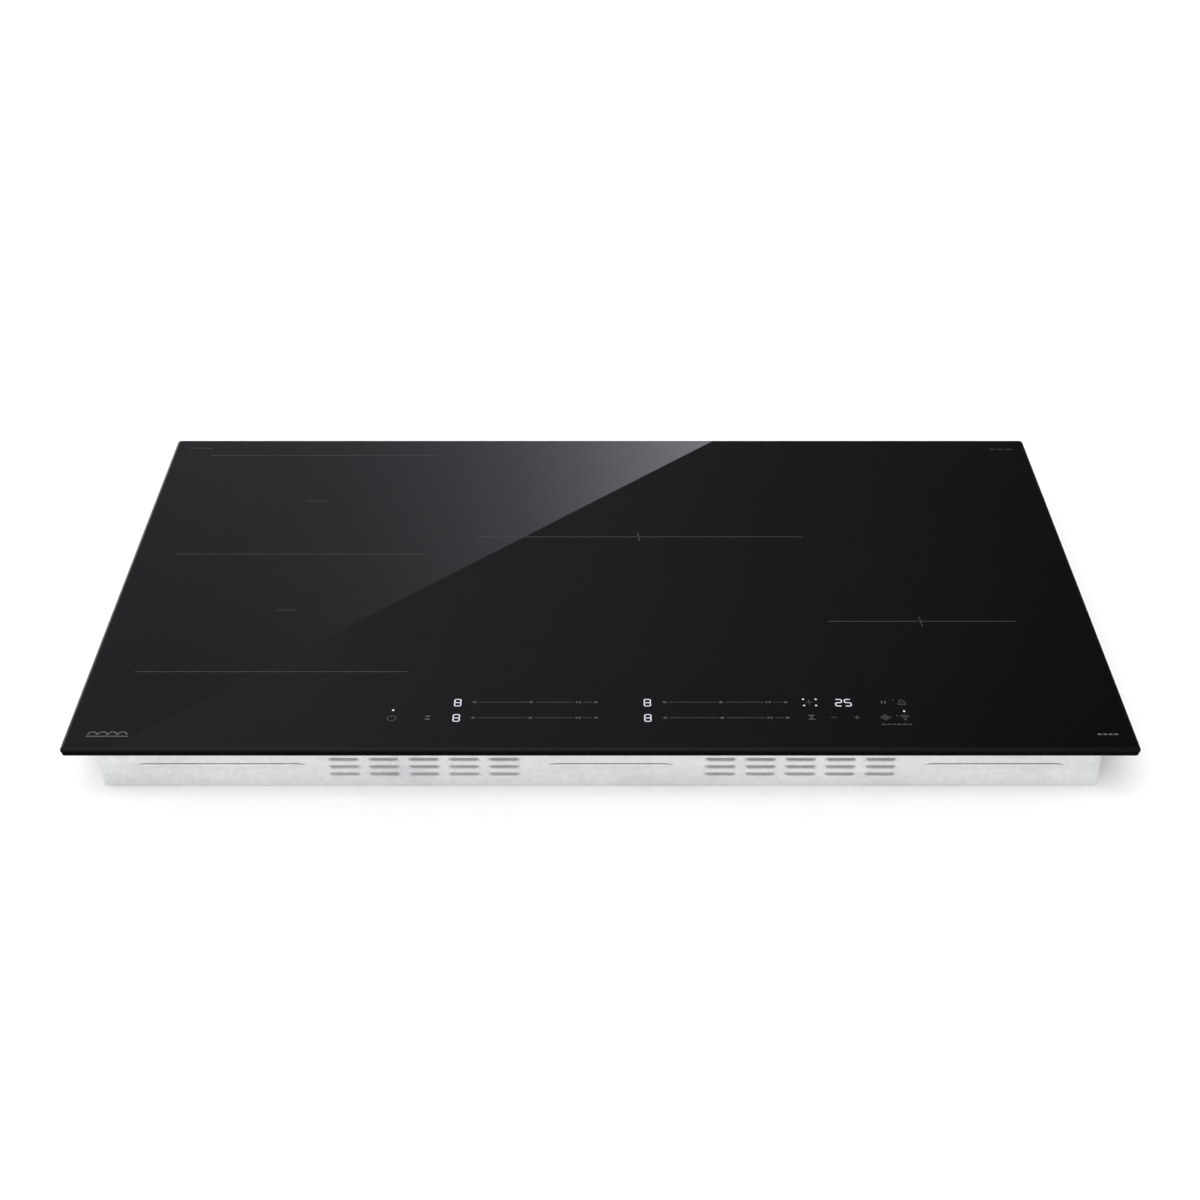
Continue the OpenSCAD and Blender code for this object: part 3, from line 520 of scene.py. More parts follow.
def arc(shape, x, y, radius, start, stop, width, n=24):
    """A printed arc, its angles in degrees."""
    inner, outer = radius - width / 2, radius + width / 2
    rings = []
    for i in range(n + 1):
        a = math.radians(start + (stop - start) * i / n)
        c, s = math.cos(a), math.sin(a)
        rings.append([(x + r * c, y + r * s, z) for r, z in (
            (inner, TOP), (outer, TOP), (outer, TOP + PRINT_T), (inner, TOP + PRINT_T))])
    shape.loft(rings)


def digit(shape, x, y, segments):
    """Seven-segment digit with mitred bars: a b c d e f g as on any display."""
    width, height, bar, gap = 6.2, 10.2, 1.0, 0.12
    t = bar / 2
    w, h = width / 2 - t, height / 2 - t
    corners = {"a": ((-w, h), (w, h)), "b": ((w, h), (w, 0)), "c": ((w, 0), (w, -h)),
               "d": ((w, -h), (-w, -h)), "e": ((-w, -h), (-w, 0)), "f": ((-w, 0), (-w, h)),
               "g": ((-w, 0), (w, 0))}
    for name in segments:
        a, b = (Vector(p) + Vector((x, y)) for p in corners[name])
        along = (b - a).normalized()
        side = Vector((-along.y, along.x)) * t
        a, b = a + along * gap, b - along * gap
        patch(shape, [tuple(p) for p in (a, a + along * t - side, b - along * t - side,
                                         b, b - along * t + side, a + along * t + side)])


def make_zone_marks():
    """Lines and ticks of the cooking zones."""
    shape = Shape()
    width = 1.0
    for y in (228.8, 38, -152):
        stroke(shape, (-410, y), (-170, y), width)
    stroke(shape, (-297, 136), (-275, 136), 0.8)
    stroke(shape, (-298.5, -57), (-281.5, -57), 0.8)
    for low, high, y, x in ((-121, 198, 69, 37.5), (208, 380, -75, 293)):
        stroke(shape, (low, y), (x - 1.2, y), width)
        stroke(shape, (x + 1.2, y), (high, y), width)
        stroke(shape, (x - 0.5, y + 7.5), (x + 0.5, y - 7.5), width)
    piece("zone_marks", shape, [INK])


def make_slider_marks():
    """Four sliders: diamonds at their ends and middle, an arrow pair, and lines between."""
    shape = Shape()
    half = 1.6
    for shift in (0.0, 163.3):
        for y in (-197.1, -218.8):
            for x in (-107.5, -59, -3.4):
                for sx in (-1, 1):
                    base = x + sx * 0.15
                    line = [(base, y - half), (base + 2.0 * sx, y), (base, y + half)]
                    patch(shape, line[::sx], 1, (shift, 0, 0))
            for x in (-19.4, -16.6):
                line = [(x - 1.1, y - half), (x + 1.2, y), (x - 1.1, y + half)]
                patch(shape, line, 1, (shift, 0, 0))
            for a, b in ((-103.4, -62), (-55, -22.4), (-13.8, -6.9)):
                stroke(shape, (a + shift, y), (b + shift, y), 0.85)
    shape.shift(*CONTROLS)
    piece("slider_marks", shape, [INK, INK_BRIGHT])


def make_control_icons():
    """Generic icons of the other touch keys."""
    shape = Shape()
    # Power: an open ring with a bar in the gap
    arc(shape, -177, -219.5, 3.6, 115, 425, 0.6)
    stroke(shape, (-177, -218.2), (-177, -214.8), 0.6)
    # Pause: two short bars
    for y in (-216.6, -220.6):
        stroke(shape, (-148.4, y), (-144.4, y), 1.7)
    # Cross between the four lit corners of the flexible zone
    stroke(shape, (176.6, -197), (183.6, -197), 0.5)
    stroke(shape, (180.1, -193.4), (180.1, -196.6), 0.5)
    stroke(shape, (180.1, -197.4), (180.1, -200.8), 0.5)
    # Timer: an hourglass of two triangles between two bars
    x, y = 180.4, -218.1
    for s in (-1, 1):
        stroke(shape, (x - 3, y + s * 2.8), (x + 3, y + s * 2.8), 0.7)
        patch(shape, [(x - 2, y + s * 2.2), (x + 2, y + s * 2.2), (x, y + s * 0.4)][::-s])
    # Minus and plus
    stroke(shape, (197, y), (201.8, y), 0.6)
    stroke(shape, (216.6, y), (221.4, y), 0.6)
    stroke(shape, (219, -217.7), (219, -215.7), 0.6)
    stroke(shape, (219, -218.5), (219, -220.5), 0.6)
    # Key lock, shown as two posts and a bar
    for x in (242.4, 245.6):
        stroke(shape, (x, -199.2), (x, -195), 0.8)
    stroke(shape, (242.9, -197), (245.1, -197), 0.7)
    # A triangle with a bar in it, and a small dot beside it
    for a, b in (((256, -200), (259.2, -193.4)), ((260.2, -193.4), (263.4, -200)),
                 ((256.6, -200.4), (262.8, -200.4)), ((258.2, -198.2), (261.2, -198.2))):
        stroke(shape, a, b, 0.6)
    dot(shape, 252.6, -194.3, 0.6, 12)
    # Level meter: bars of rising and falling height
    for i, half in enumerate((0.7, 1.9, 3.4, 4.4, 3.0, 1.6, 0.7)):
        x = 238.8 + 1.5 * i
        stroke(shape, (x, y - half), (x, y + half), 0.6)
    # Radio link: three arcs over a dot, and a small dot beside them
    for radius in (2.2, 4.2, 6.2):
        arc(shape, 259.9, -221.4, radius, 50, 130, 0.6, 10)
    dot(shape, 259.9, -221.4, 0.8, 12)
    dot(shape, 253.2, -215.6, 0.6, 12)
    # A row of dashes where the hob has small words
    for i in range(6):
        stroke(shape, (239 + 4.4 * i, -227.7), (242.4 + 4.4 * i, -227.7), 1.0)
    shape.shift(*CONTROLS)
    piece("control_icons", shape, [INK_BRIGHT])


def make_corner_marks():
    """Plain shapes where such a hob carries printed names."""
    shape = Shape()
    # Front left: four arcs on a bar
    for i in range(4):
        arc(shape, -427 + 8.4 * i, -240.5, 3.7, 0, 180, 1.1, 16)
    stroke(shape, (-432, -242.6), (-396.4, -242.6), 1.1)
    # Front right and both rear corners: short bars
    for i in range(4):
        stroke(shape, (418 + 4.6 * i, -240), (421.4 + 4.6 * i, -240), 1.8)
    for i in range(3):
        stroke(shape, (-434 + 8.6 * i, 243.8), (-427.6 + 8.6 * i, 243.8), 1.4, 1)
        stroke(shape, (411.5 + 8.8 * i, 241.6), (418 + 8.8 * i, 241.6), 1.2, 1)
    piece("corner_marks", shape, [INK_EMBLEM, INK])


def make_lit_display():
    """Four power levels, the timer's value and the lit dots."""
    shape = Shape()
    for x in (-122, 41):
        for y in (-197.8, -219):
            digit(shape, x, y, "abcdefg")
    digit(shape, 205.5, -197.8, "abged")
    digit(shape, 213.4, -197.8, "afgcd")
    shape.shift(*CONTROLS)
    piece("lit_digits", shape, [LIT])
    lights = Shape()
    for x, y in ((-176.6, -208.3), (260.2, -209.7)):
        dot(lights, x, y, 1.0)
    for x, y in ((175.3, -193.0), (186.2, -193.0), (175.5, -201.7), (185.8, -201.7)):
        dot(lights, x, y, 0.95)
    lights.shift(*CONTROLS)
    piece("lit_dots", lights, [LIT])


make_glass()
make_zone_marks()
make_slider_marks()
make_control_icons()
make_corner_marks()
make_lit_display()


# ---------------------------------------------------------------- details

def islands(node):
    """Lowest and highest corner, in millimetres, of each separate solid of a CAD node."""
    work = bmesh.new()
    work.from_mesh(frame["nodes"][node].data)
    bmesh.ops.remove_doubles(work, verts=work.verts, dist=SAME_POINT)
    work.verts.ensure_lookup_table()
    seen, found = set(), []
    for first in work.verts:
        if first in seen:
            continue
        seen.add(first)
        group = [first]
        for vert in group:
            for edge in vert.link_edges:
                other = edge.other_vert(vert)
                if other not in seen:
                    seen.add(other)
                    group.append(other)
        low = Vector([min(v.co[k] for v in group) for k in range(3)]) / MM
        high = Vector([max(v.co[k] for v in group) for k in range(3)]) / MM
        found.append((low, high))
    work.free()
    return found


def middle_of(low, high):
    return [(a + b) / 2 for a, b in zip(low, high)]


def soften(made, width):
    """Rounds the edges of a piece, or of a CAD node whose mesh comes split at them."""
    weld = made.modifiers.new("weld", "WELD")
    weld.merge_threshold = SAME_POINT
    bevel = made.modifiers.new("bevel", "BEVEL")
    bevel.width = width * MM
    bevel.segments = 2
    bevel.limit_method = "ANGLE"
    bevel.angle_limit = math.radians(50)


def holed(shape, outer, hole, z, at, axis, turn=0.0):
    """A flat face between an outline and a hole in it."""
    rings = [[Vector(p) for p in lifted(line, z)] for line in (outer, hole)]
    triangles = tessellate_polygon(rings)
    shape.add(placed(rings[0] + rings[1], at, axis, turn), triangles)


def cross_head(shape, at, axis, radius, height, turn, dome=0.35):
    """Screw head with a cross recess, its underside at the given point."""
    n, flat = 32, 0.66 * radius
    profile = [(0.97 * radius, 0.0), (radius, 0.06 * height), (radius, dome * height)]
    for k in range(1, 5):
        a = math.radians(22.5 * k)
        profile.append((flat + (radius - flat) * math.cos(a),
                        height * (dome + (1 - dome) * math.sin(a))))
    shape.loft([placed(ring(r, z, n), at, axis, turn) for r, z in profile], caps=(True, False))
    arm, half = 0.56 * radius, 0.12 * radius
    cross = []
    for c, s in ((1, 0), (0, 1), (-1, 0), (0, -1)):
        cross += [(x * c - y * s, x * s + y * c)
                  for x, y in ((arm, -half), (arm, half), (half, half))]
    holed(shape, [(x, y) for x, y, _ in ring(flat, 0, n)], cross, height, at, axis, turn)
    sunk = [(0.62 * x, 0.62 * y, height - 0.4 * radius) for x, y in cross]
    shape.loft([placed(line, at, axis, turn) for line in (lifted(cross, height), sunk)],
               caps=(False, True))


def thread(shape, at, axis, low, high, crest, root):
    """A screw thread between two heights along its axis."""
    pitch, n = 0.7, 16
    rows = int(2 * (high - low) / pitch) - 2
    points = []
    for j in range(rows + 1):
        r = crest if j % 2 else root
        for i in range(n):
            a = TAU * i / n
            points.append((r * math.cos(a), r * math.sin(a), low + pitch * (j / 2 + i / n)))
    faces = [[j * n + i, j * n + i + 1, (j + 1) * n + i + 1, (j + 1) * n + i]
             for j in range(rows) for i in range(n - 1)]
    faces += [[j * n + n - 1, (j + 2) * n, (j + 3) * n, (j + 1) * n + n - 1]
              for j in range(rows - 2)]
    faces.append([n, 2 * n] + list(range(n))[::-1])
    faces.append([rows * n + i for i in range(n)] + [rows * n - 1, rows * n - 1 - n])
    shape.add(placed(points, at, axis), faces)


def hex_nut(shape, at, axis, corner, height, hole):
    """A nut with both ends turned to a cone, corner being its radius over the corners."""
    n, flat = 48, corner * math.cos(math.pi / 6)
    cut = 0.96 * flat
    drop = (corner - cut) * 0.577    # a cone at 30 degrees
    lead = 0.4

    def outline(limit, z):
        points = []
        for i in range(n):
            a = TAU * i / n
            r = min(flat / math.cos(a % (math.pi / 3) - math.pi / 6), limit)
            points.append((r * math.cos(a), r * math.sin(a), z))
        return points

    steps = [(cut + (corner - cut) * k / 4, drop * k / 4) for k in range(5)]
    rings = [outline(r, z) for r, z in steps] + [outline(r, height - z) for r, z in steps[::-1]]
    rings += [ring(r, z, n) for r, z in ((hole + lead, height), (hole, height - lead),
                                         (hole, lead), (hole + lead, 0))]
    shape.loft([placed(line, at, axis) for line in rings], loop=True)


def make_seal():
    """Foam tape in four lengths, butted at the corners, not yet pressed down on a worktop."""
    low, high = span("worktop_seal")
    width, gap, corner, proud, edge = 13.0, 0.4, 3.0, 0.2, 0.2

    def bow(x, inward, angles):
        return [(x + inward * corner * (1 - math.sin(math.radians(a))),
                 low.y + corner * (1 - math.cos(math.radians(a)))) for a in angles]

    front = bow(low.x, 1, (90, 60, 30, 0)) + bow(high.x, -1, (0, 30, 60, 90))
    front += [(high.x, low.y + width), (low.x, low.y + width)]
    rear = [(x, -y) for x, y in front[::-1]]
    shape = Shape()
    for line, x0, x1 in ((front, low.x, low.x + width), (rear, high.x - width, high.x)):
        plate(shape, line, low.z - proud, high.z, edge)
        brick(shape, (x0, low.y + width + gap, low.z - proud),
              (x1, high.y - width - gap, high.z), edge)
    fitting("foam_seal", shape, "foam_tape", stands_for=("worktop_seal",))


def make_casing_screws():
    """A cross-recess pan head wherever the casing or the coil plate has a screw."""
    shape = Shape()
    low, high = span("casing_screws")
    radius, height = 3.0, 1.6
    shank, shank_length = 1.4, 7
    upright_height = 2    # the coil plate's screws stand up, and are lower than this
    wall_distance = 200   # the front and rear walls are further than this from the middle
    for a, b in islands("casing_screws"):
        at = (a + b) / 2
        if b.z - a.z < upright_height:
            cross_head(shape, (at.x, at.y, a.z), UP, radius, height, at.x)
            continue
        across = 1 if abs(at.y) > wall_distance else 0
        along = at[1 - across]
        out = 1 if at[across] > 0 else -1
        axis = Vector((0, 0, 0))
        axis[across] = out
        face = (high[across] if out > 0 else low[across]) - out * height
        at[across] = face
        cross_head(shape, at, axis, radius, height, along)
        at[across] = face - out * shank_length
        turned(shape, [(shank, 0), (shank, shank_length)], at, axis, 16)
    fitting("cross_recess_screws", shape, "zinc_steel", stands_for=("casing_screws",), weld=True)


def make_clamps():
    """Threaded clamp screws, chamfered nuts and bent-strip arms."""
    screws = Shape()
    radius, head, crest, root, bore = 4.2, 3.5, 2.0, 1.65, 2.06
    corner = 5.77    # of a nut that is 10 mm across its flats
    for low, high in islands("clamp_screws"):
        x, y, _ = middle_of(low, high)
        cross_head(screws, (x, y, low.z + head), (0, 0, -1), radius, head, 0.4, dome=0.7)
        thread(screws, (x, y, 0), UP, low.z + 3.2, high.z - 0.8, crest, root)
        turned(screws, [(1.6, high.z - 2.2), (1.6, high.z - 0.6), (1.1, high.z)], (x, y, 0), n=16)
    fitting("threaded_clamp_screws", screws, "zinc_steel", stands_for=("clamp_screws",), weld=True)
    for name, swing in (("front_left", 90), ("front_right", 90), ("rear_left", -90),
                        ("rear_right", -90)):
        low, high = span("clamp_nut_" + name)
        x, y, _ = middle_of(low, high)
        nut = Shape()
        hex_nut(nut, (x, y, low.z), UP, corner, high.z - low.z, bore)
        fitting("hex_nut_" + name, nut, "zinc_steel", "nut_" + name,
                stands_for=("clamp_nut_" + name,), weld=True)
        make_arm(name, (x, y, high.z), swing, bore)


def make_arm(name, at, degrees, bore):
    """A strip bent twice, with a round eye for the screw and a jaw at its end."""
    eye, half, thick, jaw = 6.5, 6.0, 2.0, 1.5
    riser, top, reach = 16.0, 8.0, 26.0
    bend, inner = 1.2, 0.8
    shape = Shape()
    turn = math.radians(degrees)
    start = riser - bend
    # The eye: a disc with a hole, running into the strip
    first = math.degrees(math.asin(half / eye))
    line = [(start, -half), (start, half)]
    for k in range(25):
        a = math.radians(first + (360 - 2 * first) * k / 24)
        line.append((eye * math.cos(a), eye * math.sin(a)))
    hole = [(x, y) for x, y, _ in ring(bore, 0, 24)]
    for z in (0, thick):
        holed(shape, line, hole, z, at, UP, turn)
    n = len(line)
    walls = placed(lifted(line, 0) + lifted(line, thick), at, UP, turn)
    shape.add(walls, [[i, (i + 1) % n, n + (i + 1) % n, n + i] for i in range(1, n)])
    shape.loft([placed(lifted(hole, z), at, UP, turn) for z in (0, thick)], caps=(False, False))
    # The strip's lower and upper line: up the riser, out to the jaw
    lower, upper = [(start, 0.0)], [(start, thick)]
    for k in range(1, 6):
        a = math.radians(18 * k)
        lower.append((start + (bend + thick) * math.sin(a), (bend + thick) * (1 - math.cos(a))))
        upper.append((start + bend * math.sin(a), thick + bend * (1 - math.cos(a))))
    nose = (riser + thick + inner, top - jaw - inner)
    for k in range(6):
        a = math.radians(18 * k)
        c, s = math.cos(a), math.sin(a)
        lower.append((nose[0] - inner * c, nose[1] + inner * s))
        upper.append((nose[0] - (inner + thick) * c, nose[1] + (inner + jaw) * s))
    lower += [(reach - 1.0, top - jaw), (reach, top - jaw + 0.5)]
    upper += [(reach - 0.6, top), (reach, top - 0.4)]
    shape.loft([placed([(x0, -half, z0), (x1, -half, z1), (x1, half, z1), (x0, half, z0)],
                       at, UP, turn) for (x0, z0), (x1, z1) in zip(lower, upper)],
               caps=(False, True))
    soften(fitting("bent_arm_" + name, shape, "spring_steel", "arm_" + name, sharp=40,
                   stands_for=("clamp_arm_" + name,), weld=True), 0.25)


def bead(shape, a, b, out, width=5.0, height=0.9):
    """A pressed stiffening bead on a wall between two points, fading out at both ends."""
    sunk = -0.3
    a, b, out = Vector(a), Vector(b), Vector(out)
    along = (b - a).normalized()
    across = out.cross(along)
    length = (b - a).length
    section = [(width / 2, sunk)]
    for t in range(0, 181, 18):
        section.append((math.cos(math.radians(t)) * width / 2, math.sin(math.radians(t)) * height))
    section.append((-width / 2, sunk))
    run = 1.4 * width
    ends = [(run * k / 6, max(0.05, math.sin(math.radians(15 * k)))) for k in range(7)]
    rings = []
    for s, size in ends + [(length - s, size) for s, size in ends[::-1]]:
        centre = a + along * s
        rings.append([centre + across * (u * size) + out * (v * size) for u, v in section])
    shape.loft(rings)


def louvre(shape, x, z, width, height, wall):
    """A lanced hood over a slot in the front wall, open below."""
    depth, taper, sheet = 1.9, 4.5, 0.5
    half, top = width / 2 + 0.8, z + height + 1.4
    rings = []
    for k in range(25):
        a = math.radians(7.5 * k)
        s = -math.cos(a) * half
        edge = max(0.0, abs(s) - (half - taper)) / taper
        proud = depth * math.sqrt(max(0.0, 1 - edge ** 2)) + 0.04
        outer, inner = [], []
        for t in (0, 0.12, 0.28, 0.46, 0.66, 0.85, 1.0):
            bulge = math.sin(t * math.pi / 2) ** 1.1
            drop = (top - z - 0.5) * t
            outer.append((x + s, wall - proud * bulge, top - drop))
            inner.append((x + s, wall + sheet - proud * bulge, top - drop - 0.25 * (1 - t)))
        rings.append(outer + inner[::-1])
    shape.loft(rings)


def make_tray_pressings():
    """Louvres, beads and weld spots of the casing, pressed in its sheet."""
    low, high = span("base_tray")
    shape = Shape()
    slot_w, slot_h, slot_pitch = 26, 3, 34
    for x in (-150, 170):
        for i in range(-2, 3):
            for z in (12, 20, 28):
                louvre(shape, x + slot_pitch * i, z, slot_w, slot_h, low.y)
    for out, x in ((-1, low.x), (1, high.x)):
        for z in (18, 31):
            bead(shape, (x, -140, z), (x, 140, z), (out, 0, 0))
    for z in (18, 31):
        bead(shape, (-215, high.y, z), (395, high.y, z), (0, 1, 0))
    for x0, x1 in ((-395, -250), (-45, 62), (275, 395)):
        bead(shape, (x0, low.y, 24), (x1, low.y, 24), (0, -1, 0))
    for x, y in ((-330, 118), (-255, 118), (40, 118), (100, 100), (290, 100), (350, 118)):
        bead(shape, (x, -140, low.z), (x, y, low.z), (0, 0, -1), 7.0, 0.8)
    for a, b in islands("plate_posts"):
        x, y, _ = middle_of(a, b)
        turned(shape, [(2.6, low.z + 0.3), (2.6, low.z), (2.0, low.z - 0.35), (1.0, low.z - 0.4)],
               (x, y, 0), n=20)
    weld_spot = [(2.4, -0.3), (2.4, 0), (1.8, 0.22), (0.8, 0.25)]
    for out, x, places in ((-1, low.x, (-225, -152, 152)), (1, high.x, (-225, 225, -152, 152))):
        for y in places:
            for z in (14, 34):
                turned(shape, weld_spot, (x, y, z), (out, 0, 0), 18)
    wall = span("connection_plate")[1].y
    for x, z in ((-399.5, 44), (-302, 44), (-250, 44), (-250, 8), (-302, 7)):
        turned(shape, weld_spot, (x, wall, z), (0, 1, 0), 18)
    fitting("tray_pressings", shape, "galvanised_steel", sharp=50)


def make_feet():
    """Rubber feet, each standing on two round ridges."""
    shape = Shape()
    profile = [(1.0, 0.5), (2.0, 0.5), (2.4, 0), (3.6, 0), (4.0, 0.5), (5.0, 0.5), (5.4, 0),
               (7.2, 0), (7.8, 0.4), (8.0, 0.9), (8.0, 1.7), (7.7, 2.0)]
    for low, high in islands("tray_feet"):
        x, y, _ = middle_of(low, high)
        turned(shape, profile, (x, y, 0), n=40)
    fitting("ridged_feet", shape, "rubber", stands_for=("tray_feet",))


BACKWARD = (0, 1, 0)


def make_bush():
    """The bush that a mains cable would enter by, from profiles of (radius, y)."""
    x, _, z = middle_of(*span("cable_bush"))
    bush = Shape()
    profile = [(7.0, 224.0), (9.4, 224.0), (10.0, 224.6), (10.0, 225.9), (10.6, 226.1),
               (12.0, 228.2), (12.0, 228.8), (10.0, 228.9), (10.0, 230.0), (12.7, 230.05),
               (13.0, 230.5), (12.9, 231.4), (12.2, 232.1), (11.0, 232.4), (9.8, 232.0),
               (9.0, 231.9), (8.2, 232.2), (7.4, 232.5), (6.8, 232.3), (6.5, 231.7), (6.5, 224.6)]
    turned(bush, profile, (x, 0, z), BACKWARD, 48, loop=True)
    fitting("snap_in_bush", bush, "black_plastic", stands_for=("cable_bush",))


def make_stud():
    """Earthing stud with a round collar and a nut, from profiles of (radius, y)."""
    x, _, z = middle_of(*span("earth_stud"))
    stud = Shape()
    turned(stud, [(1.5, 222.0), (1.9, 222.4), (1.9, 226.5)], (x, 0, z), BACKWARD, 20)
    thread(stud, (x, 0, z), BACKWARD, 225.5, 237.6, 2.0, 1.66)
    turned(stud, [(1.6, 236.6), (1.6, 237.5), (1.2, 238.0)], (x, 0, z), BACKWARD, 20)
    collar = [(2.05, 226.0), (4.2, 226.0), (4.5, 226.3), (4.5, 228.7), (4.2, 229.0), (2.05, 229.0)]
    turned(stud, collar, (x, 0, z), BACKWARD, loop=True)
    hex_nut(stud, (x, 230.0, z), BACKWARD, 4.04, 3.2, 2.05)
    fitting("threaded_stud", stud, "brass", stands_for=("earth_stud",), weld=True)


def make_cover():
    """Hinged cover of the mains connection: a framed plate, ribs, a hinge barrel and a lip."""
    low, high = span("terminal_cover")
    x, y = (low.x + high.x) / 2, 231.8
    half = 44.9
    cover = Shape()
    plate(cover, oblong(90.4, 30, 1.6), y, y + 2, 0.3, at=(x, 0, 20), axis=BACKWARD)
    rim = [(oblong(86.4, 24, 1.6), 1.7), (oblong(85.8, 23.4, 1.4), 2.6),
           (oblong(83.4, 21, 1.0), 2.6), (oblong(82.8, 20.4, 0.9), 1.7)]
    cover.loft([placed(lifted(line, y + rise), (x, 0, 18.6), BACKWARD) for line, rise in rim],
               loop=True)
    for k in (-4, -3, -2, -1, 1, 2, 3, 4):
        rib = x + 9 * k
        brick(cover, (rib - 0.7, y + 1.7, 11), (rib + 0.7, y + 2.5, 26), 0.25)
    brick(cover, (x - half, y + 0.4, 33.6), (x + half, 234.0, 36.4), 0.4)
    barrel = [(1.32, -half), (2.2, -half), (2.4, -44.6)]
    for k in (-22, 0, 22):
        barrel += [(2.4, k - 0.7), (2.15, k - 0.5), (2.15, k + 0.5), (2.4, k + 0.7)]
    barrel += [(2.4, 44.6), (2.2, half), (1.32, half)]
    turned(cover, barrel, (x, 234.6, 36.6), (1, 0, 0), loop=True)
    brick(cover, (x - 10, 232.8, 5), (x + 10, 236.8, 7), 0.5)
    for k in range(-4, 5):
        grip = x + 2 * k
        brick(cover, (grip - 0.4, 233.6, 6.8), (grip + 0.4, 236.4, 7.4), 0.2)
    fitting("ribbed_cover", cover, "black_plastic", "terminal_lid", stands_for=("terminal_cover",))


make_seal()
make_casing_screws()
make_clamps()
make_tray_pressings()
make_feet()
make_bush()
make_stud()
make_cover()
for name, width in (("connection_plate", 0.2), ("terminal_housing", 0.4), ("fan_grilles", 0.25)):
    soften(frame["nodes"][name], width)


# ---------------------------------------------------------------- stage

def staged(name, corners):
    """A flat face that belongs to the studio, not to the object."""
    mesh = bpy.data.meshes.new(name)
    mesh.from_pydata(corners, [], [tuple(range(len(corners)))])
    made = bpy.data.objects.new(name, mesh)
    bpy.context.scene.collection.objects.link(made)
    return made


def make_floor():
    """Pale floor with a slight glow, which keeps it white away from the object."""
    half = 40.0
    made = staged("floor", [(-half, -half, 0), (half, -half, 0), (half, half, 0), (-half, half, 0)])
    paint = material("floor_paint")
    cloud, out = paint.texture("noise", 0.7)
    paint.ramp(cloud, out, [(0.3, (0.89, 0.89, 0.89)), (0.7, (0.91, 0.91, 0.91))],
               paint.shader, "Base Color")
    for key, value in (("Roughness", 0.9), ("Specular IOR Level", 0.1),
                       ("Emission Color", (1, 1, 1, 1)), ("Emission Strength", 0.12)):
        paint.constant(key, value)
    made.data.materials.append(paint.owner)


def make_card(name, y, outline, stops, rise, peak, blue):
    """A glowing card behind the object, seen only as a reflection.

    stops: (x in metres, radiance). rise: (z in metres, share of that radiance).
    peak: the lamp's strength. blue: its blue over its red and green."""
    made = staged(name, [(x, y, z) for x, z in outline])
    made.visible_camera = made.visible_diffuse = False
    made.visible_shadow = made.visible_transmission = False
    glow = material(name)
    glow.tree.nodes.clear()
    parts = glow.new("ShaderNodeSeparateXYZ")
    glow.link(glow.new("ShaderNodeTexCoord"), "Object", parts, "Vector")
    ramps = []
    for axis, levels, top, tint in (("X", stops, peak, blue), ("Z", rise, 1.0, 1.0)):
        low, high = levels[0][0], levels[-1][0]
        scaled = glow.spread(parts, axis, 0.0, 1.0, start=low, stop=high)
        colours = [((at - low) / (high - low), (level / top, level / top, level / top * tint))
                   for at, level in levels]
        ramps.append(glow.ramp(scaled, "Result", colours))
    light = glow.new("ShaderNodeEmission", Strength=peak)
    glow.link(glow.mixed("MULTIPLY", *ramps), MIX_RESULT, light, "Color")
    glow.link(light, "Emission", glow.new("ShaderNodeOutputMaterial"), "Surface")
    made.data.materials.append(glow.owner)


CARD_Y = 3.0
CARD_GAP = 0.02
BACK_OUTLINE = [(-2.4, 1.1), (1.3, 1.1), (1.5, 0.1), (4.4, 0.1), (4.4, 3.4), (-2.4, 3.4)]
BACK_STOPS = [(-1.7, 0.3), (-1.2, 0.285), (-0.9, 0.275), (-0.6, 0.23), (0.0, 0.185), (0.6, 0.13),
              (1.2, 0.078), (1.7, 0.05), (4.4, 0.03)]
BACK_RISE = [(1.5, 0.82), (1.8, 0.87), (2.1, 0.96), (2.4, 1.0), (3.0, 1.0)]
# The upper right edge of this one is the diagonal across the glass
GLOW_OUTLINE = [(-1.7, 1.2), (0.997, 1.2), (0.335, 1.593), (-0.904, 2.33), (-1.7, 2.805)]
GLOW_STOPS = [(-1.3, 0.24), (-0.9, 0.275), (-0.73, 0.31), (-0.56, 0.38), (-0.4, 0.475),
              (-0.23, 0.635), (-0.06, 0.91), (0.11, 1.32), (0.31, 1.88), (0.97, 1.95)]
GLOW_RISE = [(1.2, 1.0), (3.0, 1.0)]


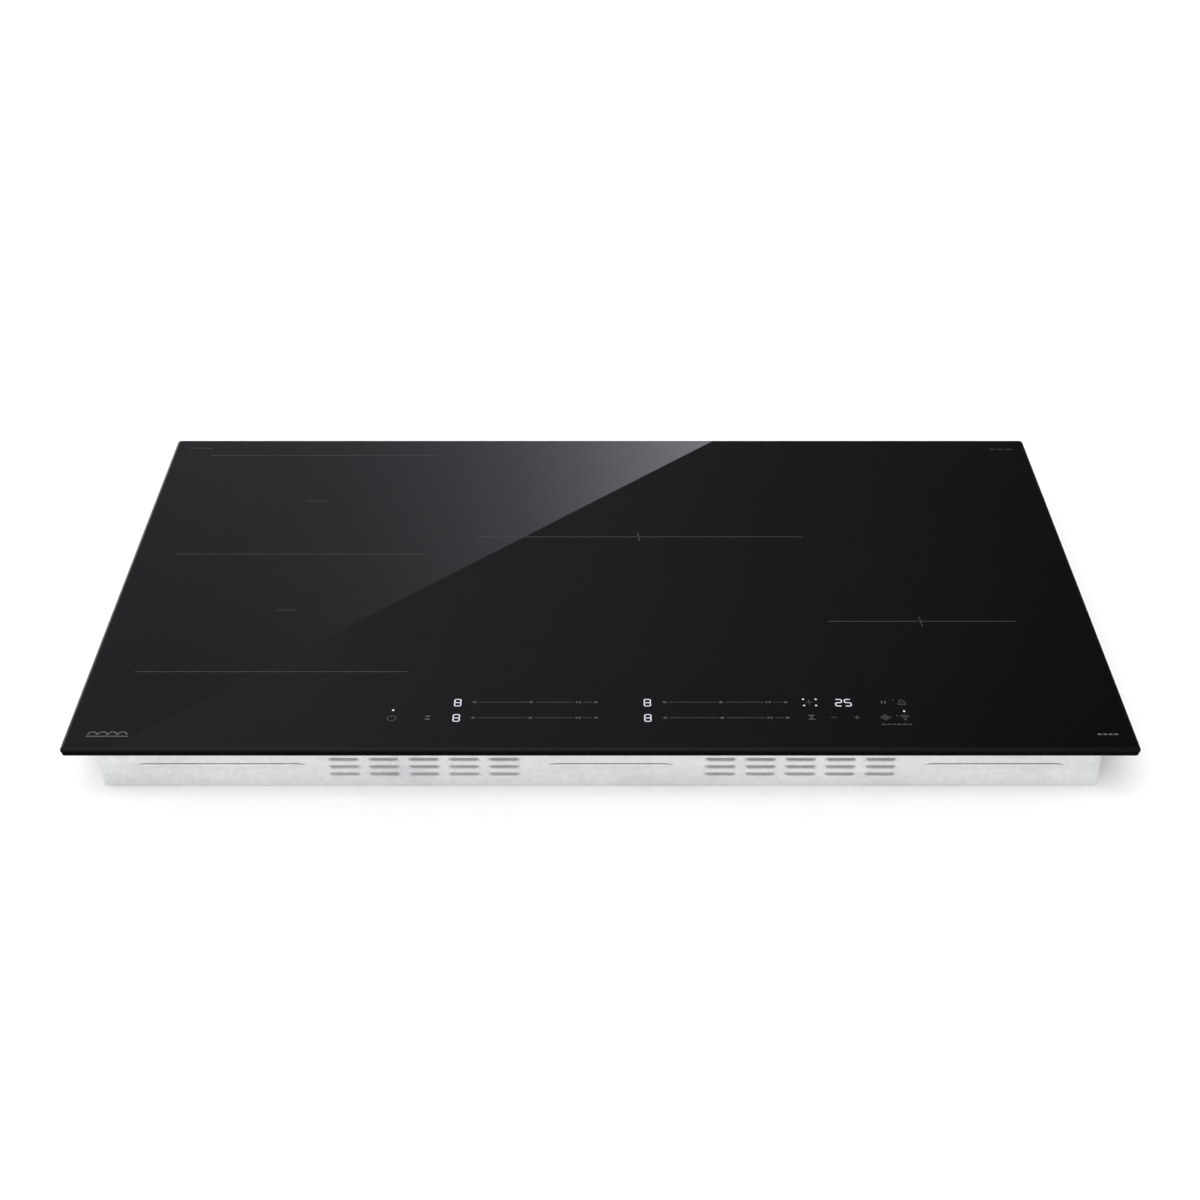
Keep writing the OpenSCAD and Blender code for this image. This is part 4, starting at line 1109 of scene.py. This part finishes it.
def make_world():
    """A white horizon that darkens upward and, above it, to the right."""
    world = bpy.data.worlds.new("studio")
    bpy.context.scene.world = world
    sky = Nodes(world)
    parts = sky.new("ShaderNodeSeparateXYZ")
    sky.link(sky.new("ShaderNodeTexCoord"), "Generated", parts, "Vector")
    stops = ((0.0, 1.0), (0.12, 0.95), (0.22, 0.65), (0.34, 0.3), (0.47, 0.15), (0.8, 0.18),
             (0.97, 0.28))
    ramp = sky.ramp(parts, "Z", [(at, (level, level, level)) for at, level in stops])
    shade = sky.new("ShaderNodeMath", operation="MULTIPLY")
    sky.spread(parts, "X", 0.0, 0.8, shade, 0, 0.0, 0.35)
    sky.spread(parts, "Z", 0.0, 1.0, shade, 1, 0.08, 0.16)
    both = sky.mixed("MIX", ramp)
    sky.link(shade, "Value", both, MIX_SHARE)
    sky.link(both, MIX_RESULT, sky.tree.nodes["Background"], "Color")


def make_sun(name, azimuth, elevation, energy, softness):
    """Broad soft daylight from a direction; not seen in reflections."""
    light = bpy.data.lights.new(name, "SUN")
    light.energy = energy
    light.angle = math.radians(softness)
    made = bpy.data.objects.new(name, light)
    a, e = math.radians(azimuth), math.radians(elevation)
    towards = Vector((math.sin(a) * math.cos(e), -math.cos(a) * math.cos(e), math.sin(e)))
    made.rotation_mode = "QUATERNION"
    made.rotation_quaternion = towards.to_track_quat("Z", "Y")
    made.visible_glossy = False
    bpy.context.scene.collection.objects.link(made)


def make_camera():
    """The photograph's view, solved from the corners of the glass."""
    camera = bpy.data.cameras.new("camera")
    camera.lens = 54.71
    camera.sensor_width = 36.0
    camera.clip_start, camera.clip_end = 0.01, 100.0
    made = bpy.data.objects.new("camera", camera)
    made.location = (-0.0003, -1.44024, 1.01791)
    made.rotation_euler = (math.radians(55.56), 0.0, 0.0)
    bpy.context.scene.collection.objects.link(made)
    bpy.context.scene.camera = made


make_floor()
make_card("back_card", CARD_Y + CARD_GAP, BACK_OUTLINE, BACK_STOPS, BACK_RISE, 1.0, 1.08)
make_card("glow_card", CARD_Y, GLOW_OUTLINE, GLOW_STOPS, GLOW_RISE, 2.0, 1.12)
make_world()
make_sun("key", -25, 62, 1.75, 50)
make_sun("fill_front", 0, 24, 1.5, 60)
make_sun("fill_left", -100, 28, 0.7, 60)
make_sun("fill_right", 100, 28, 0.7, 60)
make_sun("fill_back", 180, 30, 0.8, 60)
make_camera()
bpy.context.scene.view_settings.view_transform = "Standard"
